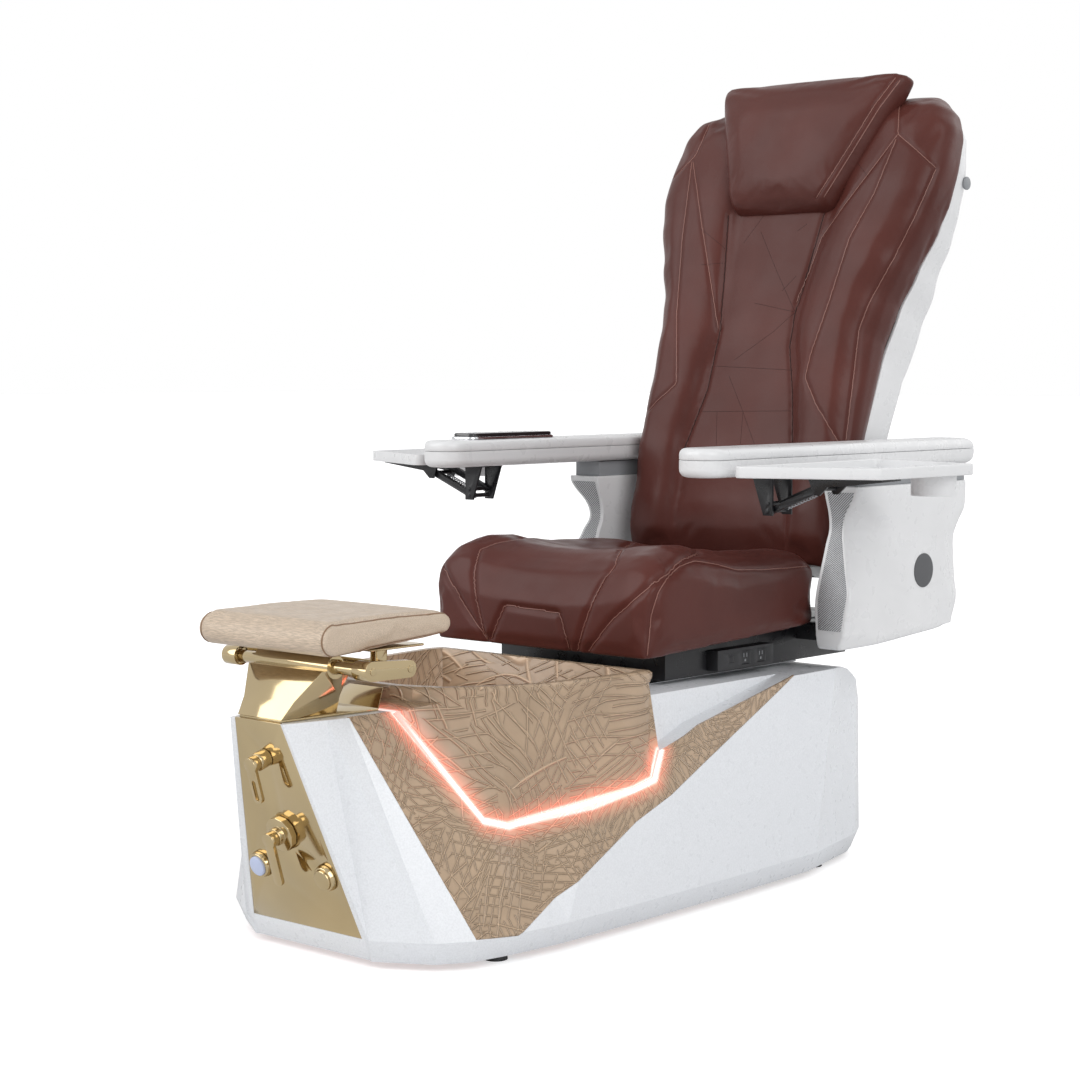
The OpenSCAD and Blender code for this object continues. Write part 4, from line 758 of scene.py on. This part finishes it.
def back_cushion():
    rings = []
    for k in range(101):
        s = 0.995 * k / 100
        w = along(HALF_WIDTH, s)
        z = BACK_START + s * (BACK_LENGTH - BACK_START)
        end = min(1.0, 0.45 + 12 * s, 0.3 + 14 * (1.0 - s))
        half = []
        for i in range(33):
            u = math.sin(math.pi / 2 * i / 32)
            y = back_front(s, u)
            half.append((w * u, -BACK_REAR + (y + BACK_REAR) * end))
        half += [(w * 0.985, -BACK_REAR * 1.15), (w * 0.96, -BACK_REAR)]
        ring = half + [(-x, y) for x, y in reversed(half[1:])]
        rings.append([back_point(x, y, z) for x, y in ring])
    obj = loft("back_cushion_skin", rings)
    remesh(obj, 0.0065)
    relax(obj, 1)
    puff(obj, 0.004, lambda p: (p - HINGE).dot(BACK_AXIS) > -BACK_REAR - 0.006, 2.0)
    relax(obj, 1)
    subdivide(obj)
    tree = surface_of(obj)
    seams = [
        [(437, 235), (375, 375), (262, 492)],
        [(360, 400), (322, 700), (300, 1000), (299, 1275), (225, 1340), (145, 1430)],
        [(365, 400), (398, 640), (440, 900), (468, 1065)],
        [(1183, 105), (1172, 290), (1250, 355), (1325, 425)],
        [(1172, 290), (1060, 440), (960, 570), (870, 700), (820, 830), (770, 960)],
        [(1165, 310), (1080, 520), (980, 700), (900, 950), (830, 1150), (805, 1250), (850, 1360),
         (940, 1505)],
        [(1325, 430), (1250, 600), (1160, 780), (1060, 960), (1022, 1060), (1000, 1250), (970, 1500)],
    ]
    welts = [[(506, 610), (490, 850), (470, 1070), (420, 1300), (330, 1530)],
             [(885, 590), (820, 820), (765, 1000), (745, 1130), (755, 1300), (755, 1510)]]
    creases = [
        [(390, 440), (430, 540), (475, 640)], [(375, 618), (475, 640)],
        [(475, 640), (420, 690), (320, 762)], [(270, 775), (468, 785)], [(240, 889), (468, 887)],
        [(310, 800), (345, 890), (375, 975)], [(240, 522), (300, 517)], [(240, 432), (302, 482)],
        [(478, 550), (440, 590)], [(280, 888), (278, 975)], [(345, 890), (338, 975)],
        [(618, 250), (660, 305)], [(400, 395), (345, 470)], [(505, 420), (478, 440)],
    ]
    lines, grooves = seams_on(tree, *BACK_VIEW, seams), seams_on(tree, *BACK_VIEW, welts)
    thin = seams_on(tree, (605, 56), 2.5, creases)
    press(obj, grooves, 0.003, 0.006)
    press(obj, lines, 0.0025, 0.005)
    smooth(obj)
    place(obj, "back", "leather", ["back_cushion"])
    tree = surface_of(obj)
    # The piping's lighter brown is a painted highlight along the seams.
    thread("back_piping", tree, lines, PIPING_LIFT, PIPING, "back", "brown_leather", "piping")
    # Dark tubes along the stitched creases and in the welt grooves: painted shade of those creases and
    # grooves.
    thread("back_stitch_shade", tree, thin, -0.0001, 0.0004, "back", "brown_leather", "painted_seam_shade")
    thread("back_welt_shade", tree, grooves, -0.0004, 0.0013, "back", "brown_leather", "painted_seam_shade")


def head_pillow():
    z0, length, foot, head, rear, front = 0.768, 0.290, 0.124, 0.234, 0.118, 0.186
    widths = [(0, 0.95), (0.03, 0.995), (0.12, 1), (0.85, 1), (0.97, 0.99), (1, 0.96)]
    thick = [(0, 0.3), (0.02, 0.6), (0.06, 0.84), (0.14, 0.97), (0.4, 1), (0.7, 0.96), (0.9, 0.84),
             (1, 0.62)]
    rings = []
    for k in range(49):
        s = k / 48
        w = along(widths, s) * (foot + (head - foot) * s)
        t = along(thick, s) * (front - rear)
        z = z0 + s * length
        half = []
        for i in range(25):
            u = math.sin(math.pi / 2 * i / 24)
            half.append((w * u, -rear - t * (1 - 0.10 * u ** 2) * (1 - u ** 16) ** 0.5))
        half += [(w * 0.97, -rear + 0.008)]
        back = [(w * 0.9, 0.016), (w * 0.6, 0.018), (w * 0.3, 0.010), (0.0, 0.008)]
        half += [(x, -rear + d * (0.4 + s)) for x, d in back]
        ring = half + [(-x, y) for x, y in reversed(half[1:-1])]
        rings.append([back_point(x, y, z) for x, y in ring])
    obj = loft("head_pillow_skin", rings)
    remesh(obj, 0.005)
    relax(obj, 2)
    puff(obj, 0.0035, lambda p: (p - HINGE).dot(BACK_AXIS) > -rear - 0.012, 2.0)
    relax(obj, 2)
    subdivide(obj)
    tree = surface_of(obj)
    seams = [[(1165, 68), (1080, 180), (975, 350), (850, 545)],
             [(1183, 80), (1100, 190), (995, 360), (880, 545)]]
    lines = seams_on(tree, *BACK_VIEW, seams)
    press(obj, lines[:1], 0.002, 0.004)
    smooth(obj)
    place(obj, "back", "leather", ["head_pillow"])
    # The piping's lighter brown is a painted highlight along the seams.
    thread("pillow_piping", surface_of(obj), lines, PIPING_LIFT, PIPING,
           "back", "brown_leather", "piping")


# ---- footrest pad ----

def footrest_pad():
    half, y0, depth, z0 = 0.153, -0.812, 0.288, 0.510
    front, rear = 0.026, 0.017
    top, crown = 0.562, 0.0025
    ends = ((-1, 0.55), (-0.997, 0.78), (-0.985, 0.92), (-0.96, 0.985))

    def section(scale):
        out = []
        a, b = Vector((y0 + front, z0 + front)), Vector((y0 + depth - rear, top - rear))
        for k in range(15):
            t = math.radians(260 - 170 * k / 14)
            out.append(a + scale * front * Vector((math.cos(t), math.sin(t))))
        for k in range(1, 10):
            u = k / 10
            rise = crown * math.sin(math.pi * u)
            out.append(Vector((a.x + (b.x - a.x) * u, top + rise - (1 - scale) * front)))
        for k in range(13):
            t = math.radians(90 - 190 * k / 12)
            out.append(b + scale * rear * Vector((math.cos(t), math.sin(t))))
        for k in range(1, 8):
            u = k / 8
            low_b, low_a = Vector((b.x, b.y - rear * scale)), Vector((a.x, z0 + (1 - scale) * front))
            out.append(low_b.lerp(low_a, u))
        return out

    rings = list(ends) + [(-0.92 + 1.84 * k / 40, 1.0) for k in range(41)]
    rings += [(-x, scale) for x, scale in reversed(ends)]
    obj = loft("footrest_pad_skin", [[Vector((x * half, p.x, p.y)) for p in section(s)] for x, s in rings])
    remesh(obj, 0.004)
    relax(obj, 2)
    puff(obj, 0.003, lambda p: p.z < z0 + 0.004)
    tree = surface_of(obj)
    seams = []
    for sign in (-1, 1):
        ring = [tree.find_nearest(Vector((sign * half * 0.945, p.x, p.y)))[0] for p in section(1.0)]
        seams.append(even(ring + [ring[0]], 0.004))
    press(obj, seams, 0.002, 0.004)
    smooth(obj)
    place(obj, "footrest_head", "tan_leather", ["footrest_pad"])
    thread("pad_piping", surface_of(obj), seams, 0.0003, 0.0014,
           "footrest_head", "tan_leather", "tan_piping")


# ---- posts and arms ----

# In millimetres: height, front, outer edge of the front, start of the flat side, and rear
POSTS = [(459, 319, 342, 399, 687), (509, 315, 352, 389, 705), (540, 319, 355, 381, 699),
         (590, 335, 338, 404, 693), (630, 349, 324, 431, 692), (655, 359, 316, 449, 707),
         (684, 357, 324, 419, 731), (720, 345, 350, 371, 735), (738, 341, 354, 359, 735)]
POST_FOOT = (323, 330, 414, 666)
POST_FOOT_Z, POST_FOOT_RUN, POST_FOOT_RISE = 432, 343, 23
POST_IN, POST_OUT = 278, 357
POST_CORNER_LONG, POST_CORNER_WIDE = 42, 12
INSERT_LOW, INSERT_HIGH, INSERT_MARGIN = 470, 727, 8
BADGE_PLACE, BADGE_RADIUS, BADGE_THICK = (0.564, 0.570), 0.033, 0.0014
SIDES = (("left", 1), ("right", -1))


def post_values(z):
    heights = [s[0] for s in POSTS]
    i = max(k for k in range(len(heights)) if heights[k] <= z or k == 0)
    i = min(i, len(heights) - 2)
    t = i + (z - heights[i]) / (heights[i + 1] - heights[i])
    return [blend_path([s[column] for s in POSTS], t) for column in (1, 2, 3, 4)]


def post_outline(values, inset):
    front, edge, flat, rear = values
    return round_corners([(POST_IN + inset * 0.3, front + inset), (edge - inset * 0.5, front + inset),
                          (POST_OUT - inset, flat + inset * 0.3), (POST_OUT - inset, rear - POST_CORNER_LONG),
                          (POST_OUT - POST_CORNER_WIDE - inset, rear - inset),
                          (POST_IN + inset * 0.3, rear - inset)],
                         [3, 7, 26, 30, 6, 3])


def posts():
    low_z, high_z, top = POSTS[0][0], POSTS[-1][0], POSTS[-1][1:]
    for side, sign in SIDES:
        rings = []
        for rise, inset in ((0, 9), (1.2, 5.5), (4, 2.2), (9, 0.4)):
            ring = post_outline(POST_FOOT, inset)
            rings.append([(p.x, p.y, POST_FOOT_Z + rise + (p.y - POST_FOOT[0]) / POST_FOOT_RUN
                           * POST_FOOT_RISE * (1 - rise / 40)) for p in ring])
        for k in range(57):
            z = low_z + (high_z - low_z) * k / 56
            rings.append([(p.x, p.y, z) for p in post_outline(post_values(z), 0.0)])
        rings[-1] = [(p.x, p.y, high_z - 0.8) for p in post_outline(top, 0.2)]
        rings.append([(p.x, p.y, high_z) for p in post_outline(top, 1.5)])
        rings = [[Vector((sign * x, y, z)) * MM for x, y, z in ring] for ring in rings]
        obj = loft(f"post_{side}_skin", rings)
        smooth(obj, 40)
        place(obj, "seat", "white", [f"post_{side}"])

        rows = []
        for k in range(41):
            z = INSERT_LOW + (INSERT_HIGH - INSERT_LOW) * k / 40
            front, edge, _, _ = post_values(z)
            rows.append((z, front, POST_IN + INSERT_MARGIN, edge - INSERT_MARGIN))
        points = []
        for depth in (-1.6, 0.4):
            for z, front, low, high in rows:
                for u in (0.0, 0.02, 0.5, 0.98, 1.0):
                    rim = 0.8 if u in (0.0, 1.0) and depth < 0 else 0.0
                    points.append(Vector((sign * (low + (high - low) * u), front + depth + rim, z)) * MM)
        faces = []
        n = 5 * len(rows)
        for layer in (0, 1):
            for k in range(len(rows) - 1):
                for i in range(4):
                    a = layer * n + k * 5 + i
                    faces.append((a, a + 1, a + 6, a + 5))
        loop = list(range(5)) + [k * 5 + 4 for k in range(1, len(rows))]
        loop += [(len(rows) - 1) * 5 + i for i in (3, 2, 1, 0)]
        loop += [k * 5 for k in range(len(rows) - 2, 0, -1)]
        for a, b in zip(loop, loop[1:] + loop[:1]):
            faces.append((a, b, n + b, n + a))
        insert = mesh_object(f"post_insert_{side}", points, faces)
        face_outward(insert)
        smooth(insert, 40)
        place(insert, "seat", "stripe", ["post_inserts"])

        badge = disc_x(f"post_badge_{side}", (POST_OUT * MM, *BADGE_PLACE), BADGE_RADIUS, BADGE_THICK, 0.1)
        if sign < 0:
            for vertex in badge.data.vertices:
                vertex.co.x *= -1
            badge.data.flip_normals()
        smooth(badge, 50)
        place(badge, "seat", "badge")


ARM_X, PIN_Y, PIN_Z = 0.310, 0.724, 0.795
FORK_HALF, KNUCKLE, PIN_BORE, PIN_HALF = 0.0115, 0.0155, 0.0063, 0.040


def arm_outline(inset, rear):
    """Outline of an arm seen from above, in millimetres."""
    center, half, radius, front = 310.0, 45.0, 40.0, -103.0
    out = []
    for x, start in ((center + half - radius, 0), (center - half + radius, -90)):
        for k in range(13):
            t = math.radians(start - 90 * k / 12)
            out.append((x + (radius - inset) * math.cos(t), front + radius + (radius - inset) * math.sin(t)))
    left, right = center - half + inset, center + half - inset
    return out + [(left, rear - 5), (left + 1.5, rear - 1.5), (left + 5, rear), (right - 5, rear),
                  (right - 1.5, rear - 1.5), (right, rear - 5)]


def arms():
    pin_y, pin_z, end = 724.0, 795.0, 26.0

    def rear(z):
        return pin_y + math.sqrt(max(4.0, end * end - (z - pin_z) ** 2))

    low = [(17, 769.3)] + [(14 * (1 - math.sin(math.radians(a))), 784 - 14.4 * math.cos(math.radians(a)))
                           for a in (5, 20, 35, 50, 65, 80, 90)] + [(0, 792), (0, 798.9), (0.7, 799.7)]
    high = [(0.7, 800.5), (0, 801.4), (0, 806), (0, 809)] + \
           [(12 * (1 - math.cos(math.radians(a))), 809 + 11.6 * math.sin(math.radians(a)))
            for a in (15, 30, 45, 60, 75, 90)] + [(20, 821.1), (30, 821.4)]
    def rod(x, half, radius, sides):
        return loft("tool", [circle_x(x + dx, PIN_Y, PIN_Z, radius, sides) for dx in (-half, half)])

    for side, sign in SIDES:
        for part, rows in (("base", low), ("pad", high)):
            rings = [[Vector((sign * x, y, z)) * MM for x, y in arm_outline(d, rear(z) - d * 0.3)]
                     for d, z in rows]
            obj = loft(f"arm_{part}_{side}_skin", rings)
            x = sign * ARM_X
            if part == "base":
                fork = corners((x - FORK_HALF, 0.7055, 0.755), (x + FORK_HALF, 0.82, 0.81))
                cut(obj, mesh_object("tool", fork, CUBE_FACES))
            else:
                cut(obj, rod(x, FORK_HALF, KNUCKLE, 32))
            cut(obj, rod(x, PIN_HALF, PIN_BORE, 24))
            smooth(obj, 40)
            place(obj, f"{side}_arm", "white", [f"arm_{part}_{side}"])


def remote():
    z, half = 0.8216, 0.031
    low, high = Vector((-ARM_X - half, -0.028)), Vector((-ARM_X + half, 0.217))

    def frame_ring(inset, height, radius):
        a, b = low + Vector((inset, inset)), high - Vector((inset, inset))
        outline = round_corners([(a.x, a.y), (b.x, a.y), (b.x, b.y), (a.x, b.y)], [radius] * 4, 8)
        return [Vector((p.x, p.y, z + height)) for p in outline]

    cradle = loft("remote_frame", [frame_ring(0.0, 0.0, 0.018), frame_ring(0.0, 0.003, 0.018),
                                   frame_ring(0.001, 0.0045, 0.017), frame_ring(0.004, 0.0052, 0.015)])
    smooth(cradle, 40)
    place(cradle, "right_arm", "chrome", ["remote"])
    glass = loft("remote_glass", [frame_ring(0.0045, 0.0052, 0.014), frame_ring(0.0045, 0.0095, 0.014),
                                  frame_ring(0.0058, 0.0112, 0.013), frame_ring(0.009, 0.0119, 0.011)])
    smooth(glass, 40)
    place(glass, "right_arm", "glass")
    key, lines = 0.0042, []
    turns = [math.radians(a) for a in range(0, 361, 30)]
    for row in range(6):
        for column in (-1, 0, 1):
            cx, cy = -ARM_X + column * 0.0145, -0.006 + row * 0.036
            lines.append([Vector((cx + key * math.cos(t), cy + key * math.sin(t), z + 0.0119))
                          for t in turns])
    place(tubes("remote_key_rings", lines, 0.00035, 5), "right_arm", "chrome")


# ---- back shell ----

# Up the back: the shell's half width, the rear edge of its sides, and its rear face
SHELL = [(0, 0.94 * WAIST), (0.12, 0.96 * WAIST), (0.42, 0.98 * WAIST), (0.53, 0.263), (0.61, 0.285),
         (0.7, 0.311), (0.76, 0.3210), (0.83, 0.3224), (0.9, 0.313), (0.94, 0.291), (0.97, 0.248)]
SHELL_SIDE = [(0, 0.040), (0.3, 0.044), (0.46, 0.054), (0.56, 0.046), (0.67, 0.014), (0.8, -0.012),
              (0.97, -0.026)]
SHELL_REAR = [(0, 0.050), (0.42, 0.050), (0.44, 0.062), (0.83, 0.062), (0.9, 0.052), (0.94, 0.036),
              (0.97, 0.004)]
SHELL_WALL, SHELL_LIFT, SHELL_SLOPE, HOLLOW_SLOPE = 0.006, 0.008, 0.046, 0.044


def shell_outline(wide, front, side, slope, rear):
    """Cross section of the shell: two sides, two slopes and the rear face."""
    half = [(wide, front), (wide, side), (wide - slope, rear)]
    return half + [(-x, y) for x, y in reversed(half)]


def back_shell():
    rings = []
    for k in range(76):
        s = 0.97 * k / 75
        w, y = along(SHELL, s), along(SHELL_REAR, s)
        z = BACK_START + s * (BACK_LENGTH - BACK_START) + SHELL_LIFT
        side, front = min(along(SHELL_SIDE, s), y - 0.001), -BACK_REAR + 0.0003
        outline = shell_outline(w, front, side, SHELL_SLOPE, y)
        outline = round_corners(outline, [0.003, 0.02, 0.03, 0.03, 0.02, 0.003], 6)
        rings.append([back_point(p.x, p.y, z) for p in outline])
    obj = loft("back_shell_skin", rings)
    hollow = []
    for k in range(40):
        s = 0.94 * k / 39
        w, y = along(SHELL, s) - SHELL_WALL, along(SHELL_REAR, s) - SHELL_WALL
        z = BACK_START + s * (BACK_LENGTH - BACK_START) + SHELL_LIFT + (SHELL_WALL if k == 0 else 0.0)
        side, front = min(along(SHELL_SIDE, s) - SHELL_WALL, y - 0.001), -BACK_REAR - 0.002
        outline = shell_outline(w, front, side, HOLLOW_SLOPE, y)
        hollow.append([back_point(px, py, z) for px, py in outline])
    cut(obj, loft("tool", hollow))
    slot = [back_point(*p) for p in corners((-0.142, -0.045, 0.05), (0.142, 0.048, 0.09))]
    cut(obj, mesh_object("tool", slot, CUBE_FACES))
    smooth(obj, 40)
    place(obj, "back", "white", ["back_shell"])


# ---- small details ----

def outlets():
    """Slots of the two outlets on the power strip."""
    x, thick = 0.2233, 0.0006
    strip_y, strip_long, middle_z = 0.089, 0.170, 0.408 + 0.019
    pitch, half = 0.0045, 0.0008
    points, faces = [], []

    def slot(low, high):
        base = len(points)
        points.extend(corners((x, *low), (x + thick, *high)))
        faces.extend(tuple(base + i for i in face) for face in CUBE_FACES)

    for share in (0.5, 0.78):
        y = strip_y + share * strip_long
        for dy in (-pitch, pitch):
            slot((y + dy - half, middle_z + 0.0005), (y + dy + half, middle_z + 0.0075))
        slot((y - 0.002, middle_z - 0.0075), (y + 0.002, middle_z - 0.0035))
    place(mesh_object("outlet_slots", points, faces), "seat", "grey")


def rigid_nodes():
    """The nodes whose own form shows, with their edges rounded."""
    for node in ("arm_collars", "side_caps"):
        refine(node, "grey", 0.0015)
    for node in ("front_panel", "deck_plate"):
        refine(node, "gold", 0.0008)
    refine("pedestal", "gold", 0.004, segments=3)
    for node in ("cross_shaft", "footrest_links", "pad_bracket"):
        refine(node, "gold", 0.0015, 35.0)
    for node in ("valve_hubs", "upper_lever", "lower_lever", "button_rings", "right_button"):
        refine(node, "gold", 0.001, 25.0)
    refine("left_button", "blue_button", 0.0012)
    refine("seat_frame", "black_metal", 0.0012)
    refine("power_strip", "black", 0.0015)
    refine("feet", "black", 0.001)
    for node in ("drain_strainer", "jet_base", "jet_cover", "spout"):
        refine(node, "chrome", 0.0006)
    refine("jet_impeller", "grey", 0.0005)
    refine("seat_rails", "steel", 0.0008)
    for node in ("arm_pins", "recline_pin", "massage_carriage"):
        refine(node, "steel", 0.0006)
    refine("massage_rollers", "grey", 0.003)
    refine("back_frame", "black_metal", 0.0015)
    refine("led_strips", "light", 0.0, sharp=80.0)
    refine("base_shell", "pearl", 0.003, 14.0, 3, 40.0)
    refine("accent_panels", "crackle", 0.0012, 35.0, 2, 30.0)
    refine("basin", "basin", 0.003, 35.0, 3, 38.0)
    for side, _ in SIDES:
        for node in ("tray_bracket_", "lower_link_", "upper_link_", "tray_channel_"):
            refine(node + side, "black_metal", 0.0006)
        refine("link_spring_" + side, "steel", 0.0, sharp=90.0)
        refine("tray_" + side, "white", 0.0025, 30.0, 3)
        refine("cup_" + side, "white", 0.0008)


rigid_nodes()
posts()
arms()
remote()
back_shell()
outlets()
seat_cushion()
back_cushion()
head_pillow()
footrest_pad()

# ---- floor, light and backdrop ----

FLOOR_REACH = 60
FLOOR_LIFT = 0.50
WORLD_DIFFUSE, WORLD_GLOSSY = 0.42, 0.85

floor_corners = [(x * FLOOR_REACH, y * FLOOR_REACH, 0) for x, y in ((-1, -1), (1, -1), (1, 1), (-1, 1))]
floor = mesh_object("floor", floor_corners, [(0, 1, 2, 3)])
floor_shader = Shader("floor", (0.78, 0.78, 0.785), 0.7, specular=0.2)
floor_shader.set("Roughness", floor_shader.spread(floor_shader.noise(2.0, 3.0), 0.3, 0.7, 0.55, 0.65))
lit = floor_shader.node("ShaderNodeEmission", Color=WHITE, Strength=FLOOR_LIFT)
both = floor_shader.node("ShaderNodeAddShader")
rays = floor_shader.node("ShaderNodeLightPath")
pick = floor_shader.node("ShaderNodeMixShader", Fac=rays.outputs["Is Camera Ray"])
floor_links = floor_shader.tree.links
floor_links.new(floor_shader.bsdf.outputs["BSDF"], both.inputs[0])
floor_links.new(lit.outputs["Emission"], both.inputs[1])
floor_links.new(floor_shader.bsdf.outputs["BSDF"], pick.inputs[1])
floor_links.new(both.outputs["Shader"], pick.inputs[2])
floor_links.new(pick.outputs["Shader"], floor_shader.tree.nodes["Material Output"].inputs["Surface"])
floor.data.materials.append(floor_shader.mat)

world = bpy.data.worlds.new("world")
world.use_nodes = True
scene.world = world
tree = world.node_tree
background = tree.nodes["Background"]
path = tree.nodes.new("ShaderNodeLightPath").outputs


def world_math(operation, a, b):
    """Result of a sum on two sockets, or on a socket and a number."""
    made = tree.nodes.new("ShaderNodeMath")
    made.operation = operation
    tree.links.new(a, made.inputs[0])
    if isinstance(b, bpy.types.NodeSocket):
        tree.links.new(b, made.inputs[1])
    else:
        made.inputs[1].default_value = b
    return made.outputs["Value"]


seen = world_math("MAXIMUM", path["Is Camera Ray"], path["Is Transmission Ray"])
gloss = world_math("MULTIPLY", path["Is Glossy Ray"], WORLD_GLOSSY)
strength = world_math("MAXIMUM", world_math("MAXIMUM", seen, gloss), WORLD_DIFFUSE)
tree.links.new(strength, background.inputs["Strength"])
background.inputs["Color"].default_value = WHITE


def sun(name, toward, strength, width):
    """A broad lamp far away, in the direction given."""
    data = bpy.data.lights.new(name, "SUN")
    data.energy = strength
    data.angle = math.radians(width)
    obj = bpy.data.objects.new(name, data)
    obj.rotation_euler = Vector(toward).to_track_quat("Z", "Y").to_euler()
    scene.collection.objects.link(obj)


sun("key", (-0.45, -0.78, 0.55), 1.5, 52)
sun("side", (0.85, -0.30, 0.50), 1.3, 45)
sun("rear", (0.25, 0.85, 0.60), 0.6, 60)
